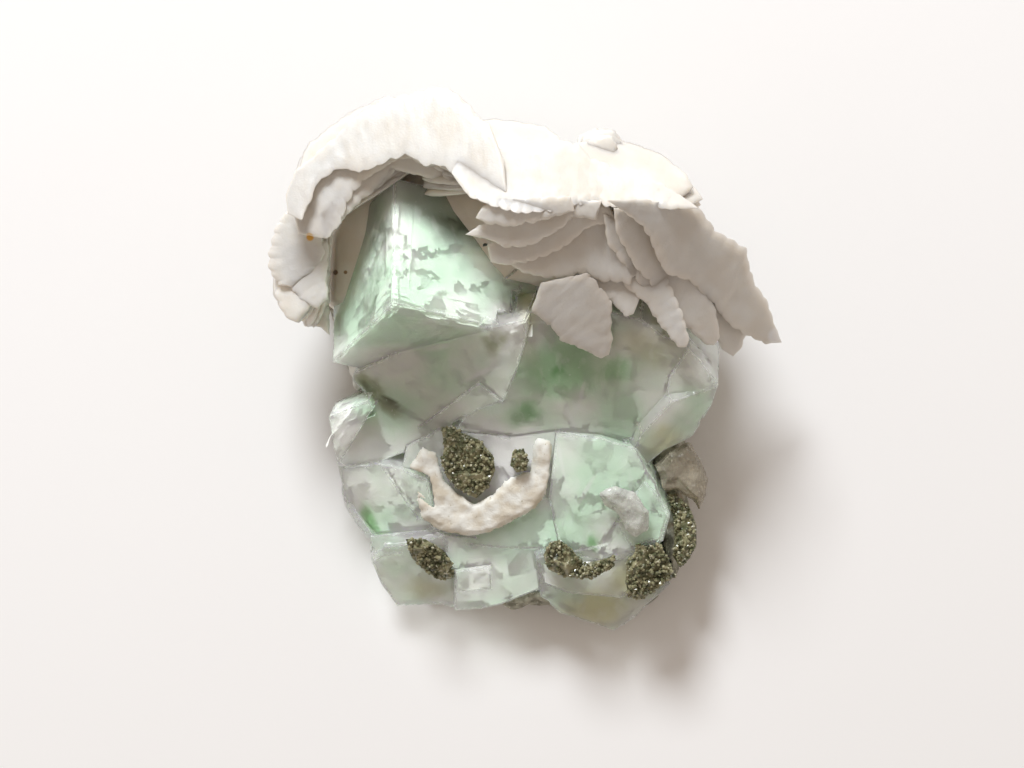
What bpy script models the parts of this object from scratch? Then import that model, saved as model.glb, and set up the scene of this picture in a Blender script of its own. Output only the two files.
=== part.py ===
"""Fluorite specimen: a cluster of pale green fluorite cubes under two fans of bladed calcite.

Patches of olive druse, a chalky crust, a smoky lump and a small clear crystal sit on the cubes,
and a granular matrix with a flat underside carries them. The crystal side faces up.
"""

import math
from typing import NamedTuple

import bmesh
import bpy
import numpy as np
from mathutils import Matrix, Vector
from mathutils.geometry import delaunay_2d_cdt

# Driving dimensions. Outlines below are in millimetres, seen from above: x to the right,
# y towards the calcite's crown, z up from the surface that the specimen lies on.
MM = 0.001
GAP = 0.3  # between pieces that touch
CUTTER_REACH = 60.0  # past the top of everything
FLUORITE_FLOOR = 3.0  # the lowest that any fluorite reaches
CALCITE_FLOOR = 7.6
CRYSTAL_DEPTH = 12.0  # how far a block runs back from its face, unless it says otherwise
BLADE_RIM = 0.4  # width of the bevel round a calcite blade, as a part of its thickness
BLADE_EDGE = 0.3  # thickness left at its edge, as a part of the whole
SEED = 20


class Plane(NamedTuple):
    """A face as z = height + slope_x * x + slope_y * y, in millimetres."""

    height: float
    slope_x: float = 0.0
    slope_y: float = 0.0

    def at(self, x, y):
        return self.height + self.slope_x * x + self.slope_y * y

    def normal(self):
        return Vector((-self.slope_x, -self.slope_y, 1.0)).normalized()

    def raised(self, distance):
        """The same plane moved along its normal."""
        lift = distance * math.hypot(1.0, self.slope_x, self.slope_y)
        return Plane(self.height + lift, self.slope_x, self.slope_y)


class Block(NamedTuple):
    """A crystal face with its outline, and how far the crystal runs back from it."""

    outline: list
    plane: Plane
    depth: float = CRYSTAL_DEPTH


class Blade(NamedTuple):
    """A thin calcite plate: its outline, the plane through its middle and its thickness."""

    outline: list
    plane: Plane
    thickness: float = 1.8


# The upper left cube, from its nearest corner along its three edges.
CUBE_CORNER = Vector((-17.9, 7.9, 31.5))
CUBE_EDGES = (
    Vector((0.0, 17.1, -9.0)),
    Vector((17.4, -4.0, -7.5)),
    Vector((-8.5, -8.1, -15.3)),
)

# Notches broken out of the cube's right corner: start and size as parts of its three edges.
CUBE_NOTCHES = (
    ((-0.10, 0.93, -0.1), (0.42, 0.2, 0.30)),
    ((-0.10, 0.82, -0.1), (0.24, 0.3, 0.22)),
    ((-0.10, 0.70, -0.1), (0.14, 0.4, 0.16)),
)

FLUORITE = {
    "middle_left": Block(
        [
            (-23.8, -2.6), (-17.1, -9.2), (-16.0, -10.0), (-11.6, -11.8), (-10.0, -8.6),
            (-6.9, -6.9), (-3.0, -5.6), (-1.2, -1.5), (0.1, 3.2), (-0.1, 5.6),
            (-3.0, 4.9), (-10.7, 4.3), (-23.6, -1.7),
        ],
        Plane(23.0, 0.29, 0.70),
    ),
    "middle": Block(
        [
            (-9.6, -9.7), (-1.4, -10.5), (5.5, -9.5), (8.9, -11.8), (13.0, -11.4),
            (16.7, -9.5), (18.9, -6.6), (22.6, -5.0), (26.4, -3.3), (24.0, 0.0),
            (21.9, 2.2), (18.5, 3.6), (15.8, 5.6), (11.9, 6.6), (4.8, 7.2), (-1.5, 6.5),
            (-4.0, 0.0),
        ],
        Plane(20.5, 0.05, 0.60),
    ),
    "middle_right_flank": Block(
        [
            (26.4, -3.3), (25.6, -6.0), (24.0, -8.8), (22.9, -10.5), (19.2, -12.2),
            (16.9, -14.1), (14.4, -12.9), (16.0, -9.9), (20.0, -5.6),
        ],
        Plane(36.6, -0.50, 1.15),
    ),
    "left": Block(
        [
            (-26.9, -7.8), (-26.3, -11.5), (-25.8, -14.4), (-24.1, -14.5), (-20.1, -14.0),
            (-16.4, -12.5), (-11.6, -11.8), (-10.0, -8.0), (-17.1, -3.7), (-21.4, -5.4),
        ],
        Plane(16.1, 0.07, 0.245),
    ),
    "left_front": Block(
        [
            (-25.8, -14.4), (-24.1, -14.5), (-20.1, -14.0), (-17.1, -14.6), (-13.5, -16.0),
            (-12.5, -20.3), (-12.1, -23.8), (-13.4, -24.4), (-21.4, -24.4), (-22.6, -22.3),
            (-24.4, -20.0), (-25.2, -17.7),
        ],
        Plane(24.2, 0.335, 0.43),
    ),
    "left_lip": Block(
        [
            (-25.6, -16.9), (-24.6, -17.6), (-23.7, -20.2), (-22.2, -22.3), (-20.8, -24.2),
            (-21.8, -24.4), (-23.4, -22.4), (-24.9, -20.0),
        ],
        Plane(22.4, 0.45, 0.20),
        8.0,
    ),
    "centre": Block(
        [
            (-17.1, -15.1), (-16.4, -11.6), (-11.6, -9.2), (-4.0, -8.2), (5.5, -7.8),
            (6.9, -19.0), (4.8, -25.8), (-3.4, -25.8), (-12.3, -24.6), (-14.0, -20.3),
            (-15.2, -17.0),
        ],
        Plane(16.6, 0.10, 0.215),
    ),
    "right": Block(
        [
            (4.2, -9.9), (10.3, -10.4), (15.2, -12.0), (16.7, -14.8), (17.9, -16.6),
            (18.2, -17.7), (20.0, -21.0), (19.0, -24.7), (15.8, -26.4), (10.3, -27.5),
            (4.8, -26.0), (3.2, -19.0),
        ],
        Plane(18.9, 0.03, 0.278),
        7.5,
    ),
    "left_bright_facet": Block(
        [(-27.0, -7.6), (-21.5, -5.3), (-20.8, -6.6), (-25.6, -14.2), (-26.4, -12.0)],
        Plane(21.9, 0.17, 0.42),
        5.0,
    ),
    "yellow_corner": Block(
        [(-5.0, 6.2), (-5.0, 9.4), (-1.4, 12.6), (3.6, 12.4), (5.0, 8.8), (4.4, 5.4), (0.0, 4.6)],
        Plane(15.8, 0.05, 0.50),
    ),
    "foot_left_top": Block(
        [
            (-21.4, -24.0), (-21.1, -27.9), (-19.3, -26.5), (-16.3, -26.2), (-12.5, -24.8),
            (-12.0, -23.0),
        ],
        Plane(11.4, 0.02, 0.05),
    ),
    "foot_left": Block(
        [
            (-21.3, -27.2), (-19.9, -30.7), (-17.7, -33.8), (-11.6, -33.6), (-9.5, -34.2),
            (-9.2, -28.6), (-11.4, -24.0), (-16.3, -25.2), (-19.3, -25.4),
        ],
        Plane(26.3, 0.0, 0.63),
    ),
    "foot_middle": Block(
        [
            (-12.3, -23.6), (-9.9, -28.6), (-9.8, -34.4), (-6.2, -34.2), (-3.4, -33.6),
            (-0.7, -32.5), (2.1, -31.4), (3.2, -25.0), (-3.4, -24.6),
        ],
        Plane(18.6, 0.02, 0.32),
    ),
    "foot_step": Block(
        [(-9.7, -28.8), (-9.6, -31.8), (-4.6, -31.5), (-4.7, -28.2)],
        Plane(19.7, 0.03, 0.33),
        4.0,
    ),
    "foot_right": Block(
        [
            (1.4, -27.0), (2.1, -32.4), (4.8, -34.8), (8.9, -36.2), (12.3, -37.3),
            (15.1, -35.5), (17.1, -33.4), (20.1, -30.7), (18.8, -26.8), (10.3, -25.4),
        ],
        Plane(27.0, -0.04, 0.565),
    ),
    "foot_right_brow": Block(
        [
            (1.8, -26.4), (2.6, -30.6), (6.0, -32.0), (13.0, -32.6), (17.6, -30.4),
            (18.4, -26.6), (10.3, -24.8),
        ],
        Plane(20.4, -0.03, 0.33),
        7.0,
    ),
}

# Low growth steps on the faces: thin blocks that stand a little proud of the face under them,
# each with its sides along the crystal's own edges and running out to its rim.
GROWTH_STEPS = {
    "step_middle_left": Block(
        [(-16.0, -10.0), (-11.6, -11.8), (-10.0, -8.6), (-6.9, -6.9), (-3.0, -5.6), (-6.4, -3.0)],
        Plane(23.35, 0.29, 0.70),
        3.0,
    ),
    "step_middle_rim": Block(
        [(18.9, -6.6), (22.6, -5.0), (26.2, -3.4), (24.0, 0.0), (22.2, 1.8), (19.6, -2.2)],
        Plane(20.85, 0.05, 0.60),
        3.0,
    ),
    "step_right_rim": Block(
        [
            (12.4, -22.4), (14.8, -25.8), (18.7, -24.4), (19.7, -21.1), (17.9, -17.9),
            (16.4, -16.4), (14.6, -18.6),
        ],
        Plane(19.3, 0.03, 0.278),
        4.0,
    ),
    "step_left_front": Block(
        [(-20.1, -14.2), (-17.1, -14.7), (-13.6, -16.2), (-12.6, -20.3), (-14.8, -21.8)],
        Plane(24.55, 0.335, 0.43),
        3.0,
    ),
}

# Solid fluorite behind the faces, upright blocks that fill the spaces between the crystals.
CORES = {
    "core_front": Block(
        [
            (-20.5, -9.0), (-20.0, -22.0), (-18.0, -30.0), (-8.0, -31.5), (4.0, -32.0),
            (13.0, -33.5), (17.5, -28.0), (16.5, -17.0), (19.0, -10.0), (10.0, -4.0),
            (-14.0, -4.0),
        ],
        Plane(8.4, 0.0, 0.08),
    ),
    "core_back": Block(
        [
            (-20.0, -4.0), (-17.0, -9.5), (14.0, -9.5), (20.0, -6.0), (21.0, 2.0),
            (16.0, 9.0), (2.0, 12.0), (-12.0, 12.0), (-20.0, 8.0),
        ],
        Plane(14.2, 0.05, 0.12),
    ),
    "core_seam": Block([(4.4, -8.2), (9.0, -8.2), (9.0, -11.0), (4.4, -11.0)], Plane(15.0)),
}

CALCITE = {
    "crown_left": Blade(
        [
            (-32.5, 22.7), (-32.2, 20.0), (-30.1, 18.9), (-29.9, 20.1), (-28.8, 22.1),
            (-28.5, 23.7), (-27.1, 25.1), (-25.3, 25.9), (-22.1, 25.6), (-18.1, 27.0),
            (-15.8, 27.8), (-13.5, 30.5), (-15.0, 34.6), (-18.8, 35.6), (-21.9, 34.4),
            (-24.0, 32.7), (-26.0, 30.3), (-27.4, 29.2), (-28.8, 27.8), (-31.1, 26.2),
        ],
        Plane(42.4, 0.27, -0.34),
    ),
    "crown_right": Blade(
        [
            (-21.0, 30.0), (-19.0, 27.2), (-15.8, 27.7), (-13.3, 26.0), (-11.5, 26.4),
            (-9.3, 25.1), (-6.6, 24.1), (-2.5, 22.7), (-2.9, 26.9), (-3.8, 29.5),
            (-4.8, 32.2), (-6.2, 33.0), (-7.5, 34.7), (-10.0, 36.9), (-11.6, 37.4),
            (-15.8, 36.3), (-19.2, 34.6),
        ],
        Plane(42.9, 0.27, -0.34),
    ),
    "crown_under": Blade(
        [
            (-30.8, 17.3), (-26.9, 16.6), (-24.9, 19.0), (-23.9, 21.6), (-23.2, 23.2),
            (-21.4, 24.8), (-18.2, 26.9), (-17.8, 28.6), (-21.9, 30.0), (-27.4, 27.0),
            (-30.1, 23.8), (-31.4, 20.0),
        ],
        Plane(31.5, 0.15, -0.05),
    ),
    "crown_inner": Blade(
        [
            (-27.3, 16.6), (-25.6, 18.4), (-21.4, 22.4), (-18.0, 26.0), (-13.0, 24.9),
            (-6.2, 23.4), (-2.3, 22.4), (-2.1, 23.8), (-8.9, 26.5), (-11.6, 28.4),
            (-15.5, 29.4), (-19.2, 28.9), (-24.0, 25.4), (-28.0, 20.0),
        ],
        Plane(22.8, -0.08, 0.02),
    ),
    "left_lobe": Blade(
        [
            (-35.2, 14.8), (-34.3, 17.7), (-32.6, 20.4), (-31.2, 21.0), (-29.5, 18.6),
            (-27.8, 16.9), (-27.2, 14.5), (-29.5, 11.8), (-31.8, 10.1), (-33.6, 10.4),
            (-35.0, 12.5),
        ],
        Plane(27.2, 0.25, 0.08),
    ),
    "left_scallop": Blade(
        [
            (-33.4, 13.6), (-33.2, 15.2), (-31.8, 16.4), (-30.1, 15.9), (-28.2, 16.6),
            (-26.9, 16.4), (-26.8, 8.6), (-28.4, 7.2), (-30.8, 8.4), (-32.4, 10.4),
        ],
        Plane(25.6, 0.20, 0.06),
    ),
    "left_lower": Blade(
        [
            (-31.8, 10.4), (-32.0, 8.4), (-31.2, 6.3), (-30.1, 4.8), (-28.1, 4.7),
            (-26.8, 3.6), (-26.7, 14.0), (-28.4, 14.7), (-30.8, 11.8),
        ],
        Plane(17.0, 0.12, 0.12),
        2.4,
    ),
    "left_lower_under": Blade(
        [
            (-31.2, 13.4), (-31.5, 8.4), (-30.6, 6.0), (-28.6, 5.2), (-26.8, 4.8),
            (-26.7, 15.0), (-29.4, 16.0),
        ],
        Plane(15.3, 0.08, 0.08),
        2.6,
    ),
    "ridge": Blade(
        [
            (-3.8, 28.9), (-9.0, 28.0), (-10.0, 25.4), (-7.5, 21.9), (-2.7, 20.3),
            (-0.7, 19.9), (4.8, 20.1), (6.9, 21.0), (9.6, 21.5), (11.0, 20.7),
            (15.8, 21.2), (19.2, 20.4), (23.4, 20.6), (18.5, 24.0),
            (13.0, 25.9), (8.9, 27.5), (7.1, 29.6), (4.8, 30.0), (-0.7, 29.3),
        ],
        Plane(50.0, -0.06, -0.75),
        2.6,
    ),
    "tip_upper": Blade(
        [
            (-6.7, 19.3), (-5.9, 20.7), (-3.4, 21.8), (6.2, 22.2), (6.6, 20.2),
            (2.1, 18.8), (-2.1, 18.2), (-5.1, 18.5),
        ],
        Plane(28.6, 0.10, 0.30),
        1.5,
    ),
    "tip_middle": Blade(
        [
            (-8.1, 17.1), (-6.4, 18.2), (-3.4, 19.6), (4.8, 21.8), (10.3, 21.6),
            (9.6, 19.0), (6.4, 19.5), (4.1, 17.3), (0.7, 15.6), (-2.7, 15.2), (-4.9, 16.4),
        ],
        Plane(26.6, 0.10, 0.32),
        1.5,
    ),
    "tip_lower": Blade(
        [
            (-5.2, 15.8), (-3.4, 16.8), (4.8, 20.0), (11.0, 21.4), (12.4, 19.0),
            (8.9, 18.2), (7.4, 17.1), (4.8, 15.2), (0.7, 13.4), (-2.7, 13.0), (-4.7, 13.4),
        ],
        Plane(24.4, 0.08, 0.36),
        1.5,
    ),
    "awning": Blade(
        [
            (-2.3, 13.3), (0.7, 15.4), (6.9, 19.4), (13.0, 20.6), (16.6, 17.0),
            (15.8, 13.6), (14.1, 10.4), (10.3, 10.7), (8.2, 11.8), (2.7, 11.1), (-0.4, 11.9),
        ],
        Plane(23.2, 0.06, 0.36),
        1.4,
    ),
    "awning_strip": Blade(
        [
            (6.2, 12.2), (8.9, 13.6), (14.6, 12.6), (16.0, 9.4), (14.7, 6.4), (13.6, 6.0),
            (11.6, 8.0), (8.6, 9.6),
        ],
        Plane(24.2, 0.0, 0.22),
        1.2,
    ),
    "tongue": Blade(
        [
            (2.1, 10.6), (8.6, 12.0), (11.7, 8.0), (11.9, 2.9), (11.4, 0.9), (10.4, 0.4),
            (4.8, 2.9), (3.8, 4.5), (0.7, 6.7),
        ],
        Plane(21.8, 0.05, 0.58),
        1.2,
    ),
    "fan_front": Blade(
        [
            (11.0, 21.6), (15.8, 21.8), (23.3, 20.9), (26.0, 17.7), (30.1, 15.5),
            (30.6, 13.2), (31.1, 11.1), (32.9, 8.6), (34.0, 5.6), (35.2, 2.6),
            (32.9, 2.3), (30.1, 3.6), (28.1, 4.9), (25.6, 7.7), (22.6, 10.8),
            (18.8, 11.9), (17.4, 15.2), (15.8, 18.2),
        ],
        Plane(35.0, -0.66, 0.50),
        1.5,
    ),
    "fan_second": Blade(
        [
            (11.9, 20.6), (20.0, 20.6), (26.0, 16.0), (29.6, 9.0), (30.6, 4.6),
            (29.6, 1.8), (28.5, 0.7), (27.0, 1.5), (25.6, 3.6), (22.6, 4.9),
            (18.5, 8.4), (15.1, 12.5), (12.2, 17.3),
        ],
        Plane(33.2, -0.65, 0.48),
        1.4,
    ),
    "fan_third": Blade(
        [
            (10.5, 19.8), (18.0, 19.4), (23.0, 14.0), (26.0, 7.0), (26.6, 3.4),
            (25.8, 2.2), (24.7, 2.2), (22.6, 4.0), (20.1, 5.9), (17.1, 9.0),
            (14.4, 11.8), (11.0, 15.9),
        ],
        Plane(29.4, -0.40, 0.40),
        1.4,
    ),
    "fan_fourth": Blade(
        [
            (9.6, 18.4), (15.0, 17.6), (18.8, 12.0), (21.6, 6.0), (22.4, 2.8),
            (21.8, 1.9), (20.8, 1.9), (18.8, 4.2), (16.4, 7.7), (14.1, 9.7), (10.3, 14.1),
        ],
        Plane(26.4, -0.14, 0.26),
        1.4,
    ),
}

BACK_ROSETTE_CENTRE = (10.4, 28.4)
BACK_ROSETTE_SIZES = ((3.9, 19.6), (3.5, 21.4), (2.7, 23.0))  # radius and height of each plate


class Fan(NamedTuple):
    """Blades that hang from one hinge like the pages of a book, each falling more steeply."""

    hinge: tuple
    heading: float  # which way the pages point, in degrees from x
    width: float
    reach: float  # of the uppermost page
    falls: tuple  # of each page, in degrees below the horizontal


FANS = {
    "side_left": Fan((-26.9, 12.6, 20.5), 176, 16.0, 6.4, (20, 38, 56, 74)),
    "back_left": Fan((-18.9, 24.0, 25.0), 124, 23.0, 9.7, (20, 35, 50, 65, 80)),
    "back_middle": Fan((-3.5, 24.0, 29.0), 97, 21.0, 10.0, (44, 56, 68, 80)),
    "back_right": Fan((12.8, 21.0, 31.0), 74, 21.0, 10.8, (48, 60, 72, 83)),
    "side_right": Fan((18.6, 15.5, 24.5), 14, 15.0, 10.2, (58, 71, 83)),
}
PAGE_GROWTH = 0.14  # how much longer each page is than the one over it
PAGE_THICKNESS = 1.9
PAGE_MIDDLE = 0.60  # of a page and half its length, as parts of its reach from the hinge
PAGE_HALF = 0.62
PAGE_LOBES = 5
PAGE_SCALLOP = 0.10
ROOT_OUTLINE = [
    (-27.5, 8.0), (-24.0, 5.0), (-16.0, 8.0), (-2.0, 10.0), (8.0, 9.5), (16.0, 8.5),
    (20.0, 11.0), (19.6, 17.0), (14.0, 21.6), (4.0, 24.4), (-6.0, 26.4), (-15.0, 27.6),
    (-23.0, 24.4), (-27.6, 18.0),
]
ROOT_PLANE = Plane(18.5, 0.22, 0.0)
ROOT_RINGS = ((-12.0, 0.0, 0.0), (-2.0, 0.0, 0.4), (3.0, 2.4, 0.3))

PATCHES = {
    "druse_centre": (
        [
            (-11.5, -9.0), (-10.0, -8.8), (-8.4, -9.9), (-6.2, -10.8), (-4.4, -12.9),
            (-4.1, -14.9), (-5.1, -17.3), (-6.7, -18.8), (-8.8, -17.7), (-10.7, -16.0),
            (-11.5, -13.8), (-11.1, -11.8),
        ],
        Plane(17.2, 0.10, 0.215),
        1.5,
    ),
    "druse_small": (
        [
            (-1.7, -12.3), (-0.2, -12.0), (0.4, -13.4), (0.2, -15.0), (-1.2, -15.2),
            (-2.0, -13.9),
        ],
        Plane(18.6, 0.10, 0.215),
        0.9,
    ),
    "druse_front_left": (
        [
            (-16.4, -24.4), (-13.7, -24.4), (-11.2, -26.0), (-9.6, -28.2), (-9.9, -30.0),
            (-12.0, -30.0), (-14.0, -28.6), (-15.6, -27.0),
        ],
        Plane(27.1, 0.0, 0.63),
        1.3,
    ),
    "druse_curled": (
        [
            (2.5, -26.6), (3.4, -24.8), (4.8, -24.5), (6.4, -25.7), (7.8, -27.6),
            (10.3, -27.3), (12.3, -26.6), (12.0, -28.4), (8.9, -29.8), (5.5, -29.6),
            (3.2, -28.6),
        ],
        Plane(21.4, -0.03, 0.33),
        1.4,
    ),
    "druse_front_right": (
        [
            (14.0, -27.4), (15.6, -25.0), (18.5, -25.0), (19.8, -27.4), (20.6, -29.4),
            (18.0, -31.3), (16.0, -32.8), (14.2, -32.4), (13.8, -30.0),
        ],
        Plane(21.3, -0.03, 0.33),
        1.6,
    ),
    "druse_right_edge": (
        [
            (18.5, -18.6), (20.6, -18.3), (22.5, -19.8), (23.6, -22.5), (23.6, -25.2),
            (22.6, -27.2), (21.4, -28.4), (20.4, -26.9), (20.6, -24.0), (20.4, -21.0),
        ],
        Plane(10.2, -0.05, 0.0),
        1.6,
    ),
}
FACET_SPACING = 1.15
PATCH_DEPTH = 4.0
PATCH_FLOOR = 7.5

CRUST_OUTLINE = [
    (0.9, -11.6), (1.8, -10.2), (3.6, -10.9), (4.4, -13.8), (3.6, -17.4),
    (1.4, -20.1), (-2.0, -22.4), (-4.8, -23.6), (-7.8, -24.2), (-11.4, -23.6),
    (-14.4, -21.4), (-15.8, -17.7), (-16.0, -14.6), (-14.2, -11.8), (-12.0, -12.6),
    (-11.9, -14.2), (-11.1, -16.4), (-9.2, -18.1), (-6.9, -19.3), (-4.6, -18.4), (-2.9, -16.3),
    (-0.8, -15.6), (0.7, -15.2),
]
CRUST_PLANE = Plane(16.6, 0.10, 0.215)
CRUST_RINGS = ((-4.0, 0.4, 0.0), (0.5, 0.0, 0.15), (1.1, 0.7, 0.2))

CLEAR_CRYSTAL_OUTLINE = [
    (10.2, -18.0), (12.4, -16.9), (15.0, -18.0), (17.0, -20.6), (17.0, -23.0),
    (15.2, -24.2), (13.8, -23.0), (12.8, -20.8), (10.9, -19.8),
]
CLEAR_CRYSTAL_PLANE = Plane(18.9, 0.03, 0.278)
CLEAR_CRYSTAL_RINGS = ((-3.0, 0.3, 0.0), (1.3, 0.0, 0.1), (2.4, 0.8, 0.2))

SMOKY_LUMP_OUTLINE = [
    (17.5, -14.7), (19.8, -12.2), (22.6, -11.0), (24.0, -13.6), (25.1, -16.3),
    (24.8, -19.0), (24.0, -20.7), (23.0, -19.1), (20.7, -17.6), (18.6, -17.9),
]
SMOKY_LUMP_RINGS = ((7.5, 0.8, 0.0), (9.0, 0.0, 0.1), (10.8, 0.3, 0.1), (11.9, 1.5, 0.2))

MATRIX_OUTLINE = [
    (-20.8, -18.0), (-19.4, -25.0), (-17.0, -30.5), (-8.0, -32.4), (-1.0, -33.6),
    (4.0, -34.2), (11.0, -35.4), (16.4, -33.8), (21.0, -29.6), (22.6, -22.0),
    (23.0, -14.0), (21.5, -6.0), (21.0, 4.0), (24.0, 12.0), (20.0, 22.0), (8.0, 28.5),
    (-6.0, 30.5), (-18.0, 30.0), (-27.0, 23.0), (-29.0, 13.0), (-25.5, 4.0), (-22.5, -6.0),
]
# Height, how far in from the outline, and how uneven, for each ring up the matrix's side.
MATRIX_RINGS = (
    (0.0, 2.0, 0.0),
    (1.0, 0.9, 0.6),
    (3.2, 0.1, 0.9),
    (5.2, 0.0, 0.9),
    (7.2, 1.6, 0.0),
)
RING_SPACING = 3.0
ROOT_SPACING = 6.0


def material(name, colour, roughness, transmission=0.0, ior=1.45):
    made = bpy.data.materials.new(name)
    made.use_nodes = True
    shader = made.node_tree.nodes["Principled BSDF"]
    shader.inputs["Base Color"].default_value = (*colour, 1.0)
    shader.inputs["Roughness"].default_value = roughness
    shader.inputs["Metallic"].default_value = 0.0
    shader.inputs["Transmission Weight"].default_value = transmission
    shader.inputs["IOR"].default_value = ior
    return made


def collection(name):
    made = bpy.data.collections.new(name)
    bpy.context.scene.collection.children.link(made)
    return made


def add_object(name, bm, into, finish=None):
    """An object from a bmesh that is in millimetres."""
    bm.normal_update()
    bmesh.ops.recalc_face_normals(bm, faces=bm.faces)
    bmesh.ops.scale(bm, vec=(MM, MM, MM), verts=bm.verts)
    mesh = bpy.data.meshes.new(name)
    bm.to_mesh(mesh)
    bm.free()
    made = bpy.data.objects.new(name, mesh)
    into.objects.link(made)
    if finish:
        mesh.materials.append(finish)
    return made


def anticlockwise(outline):
    points = np.array(outline, float)
    x, y = points.T
    area = np.sum(x * np.roll(y, -1) - y * np.roll(x, -1))
    return points if area > 0 else points[::-1]


def offset(outline, distance):
    """Every side of the outline moved outwards by a distance, or inwards by a negative one."""
    points = anticlockwise(outline)
    ahead = np.roll(points, -1, axis=0) - points
    ahead /= np.linalg.norm(ahead, axis=1)[:, None]
    outward = np.stack([ahead[:, 1], -ahead[:, 0]], axis=1)
    before = np.roll(outward, 1, axis=0)
    spread = 1.0 + np.sum(outward * before, axis=1)
    return points + distance * (outward + before) / np.maximum(spread, 0.45)[:, None]


def face_from(bm, outline, plane):
    corners = [bm.verts.new((x, y, plane.at(x, y))) for x, y in outline]
    return bm.faces.new(corners)


def cut_below(bm, height):
    """Take away what lies below a height, and close the cut."""
    everything = bm.verts[:] + bm.edges[:] + bm.faces[:]
    cut = bmesh.ops.bisect_plane(
        bm, geom=everything, plane_co=(0, 0, height), plane_no=(0, 0, -1), clear_outer=True
    )
    rim = [part for part in cut["geom_cut"] if isinstance(part, bmesh.types.BMEdge)]
    if rim:
        bmesh.ops.holes_fill(bm, edges=rim)


def block_mesh(block, grow=0.0, upright=False):
    """A crystal block: its outline on its plane, extruded back square to the face."""
    bm = bmesh.new()
    plane = block.plane.raised(grow)
    top = face_from(bm, offset(block.outline, grow), plane)
    back = Vector((0, 0, -1)) if upright else -plane.normal()
    extruded = bmesh.ops.extrude_face_region(bm, geom=[top])
    moved = [v for v in extruded["geom"] if isinstance(v, bmesh.types.BMVert)]
    bmesh.ops.translate(bm, vec=back * (block.depth + 2 * grow), verts=moved)
    return bm


def cube_mesh(grow=0.0):
    """The upper left cube, turned so that its edges run as CUBE_EDGES says."""
    edge = CUBE_EDGES[0].length
    bm = bmesh.new()
    bmesh.ops.create_cube(bm, size=1.0)
    turn = Matrix([e.normalized() for e in CUBE_EDGES]).transposed().to_4x4()
    centre = CUBE_CORNER + sum(CUBE_EDGES, Vector()) / 2
    grown = Matrix.Scale(edge + 2 * grow, 4)
    bmesh.ops.transform(bm, matrix=Matrix.Translation(centre) @ turn @ grown, verts=bm.verts)
    return bm


def ground_mesh(height):
    """A block that fills everything below a height."""
    bm = bmesh.new()
    size = 4 * CUTTER_REACH
    place = Matrix.Translation((0, 0, height - size / 2))
    bmesh.ops.create_cube(bm, size=size, matrix=place)
    return bm


def notch_mesh(start, size):
    """A box in the cube's own directions, to break a step out of its corner."""
    bm = bmesh.new()
    bmesh.ops.create_cube(bm, size=1.0)
    for vertex in bm.verts:
        along = [s + (0.5 + c) * d for s, c, d in zip(start, vertex.co, size)]
        vertex.co = CUBE_CORNER + sum((a * e for a, e in zip(along, CUBE_EDGES)), Vector())
    return bm


def blade_mesh(blade, place=None):
    """A calcite plate with thin edges: both of its faces are inset and swell outwards."""
    rim = BLADE_EDGE * blade.thickness
    swell = 0.5 * (blade.thickness - rim)
    bm = bmesh.new()
    top = face_from(bm, anticlockwise(blade.outline), blade.plane.raised(rim / 2))
    extruded = bmesh.ops.extrude_face_region(bm, geom=[top])
    moved = [v for v in extruded["geom"] if isinstance(v, bmesh.types.BMVert)]
    under = [f for f in extruded["geom"] if isinstance(f, bmesh.types.BMFace)]
    bmesh.ops.translate(bm, vec=-blade.plane.normal() * rim, verts=moved)
    bmesh.ops.recalc_face_normals(bm, faces=bm.faces)
    for face in (top, *under):
        bmesh.ops.inset_region(
            bm,
            faces=[face],
            thickness=BLADE_RIM * blade.thickness,
            depth=swell,
            use_even_offset=True,
        )
    if place is not None:
        bmesh.ops.transform(bm, matrix=place, verts=bm.verts)
    cut_below(bm, CALCITE_FLOOR)
    return bm


def walked(outline, spacing):
    """Points along an outline at about this spacing, its corners included."""
    corners = anticlockwise(outline)
    points = []
    for start, end in zip(corners, np.roll(corners, -1, axis=0)):
        steps = max(1, round(float(np.linalg.norm(end - start)) / spacing))
        points += [start + (end - start) * step / steps for step in range(steps)]
    return np.array(points)


def ringed_mesh(outline, plane, rings, spacing, random):
    """A lump whose outline steps in and out from ring to ring, each ring a height over a plane."""
    bm = bmesh.new()
    base = walked(outline, spacing)
    face = None
    for height, inset, uneven in rings:
        ring = offset(base, -inset) + random.uniform(-uneven, uneven, base.shape)
        lift = height + 0.5 * random.uniform(-uneven, uneven, len(base))
        places = [(*xy, plane.at(*xy) + up) for xy, up in zip(ring, lift)]
        if face is None:
            face = bm.faces.new([bm.verts.new(place) for place in places])
            continue
        face = bmesh.ops.extrude_discrete_faces(bm, faces=[face])["faces"][0]
        for vertex, place in zip(face.verts, places):
            vertex.co = place
    bmesh.ops.holes_fill(bm, edges=[edge for edge in bm.edges if edge.is_boundary])
    return bm


def lobed_outline(centre, radii, turn, lobes, depth, phase, count=15):
    """An ellipse with a scalloped rim, turned about its centre."""
    angle = np.linspace(0.0, 2 * math.pi, count, endpoint=False)
    reach = 1.0 - depth * np.abs(np.sin(0.5 * lobes * angle + phase))
    x = radii[0] * reach * np.cos(angle)
    y = radii[1] * reach * np.sin(angle)
    c, s = math.cos(turn), math.sin(turn)
    return np.stack([centre[0] + c * x - s * y, centre[1] + s * x + c * y], axis=1)


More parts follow.
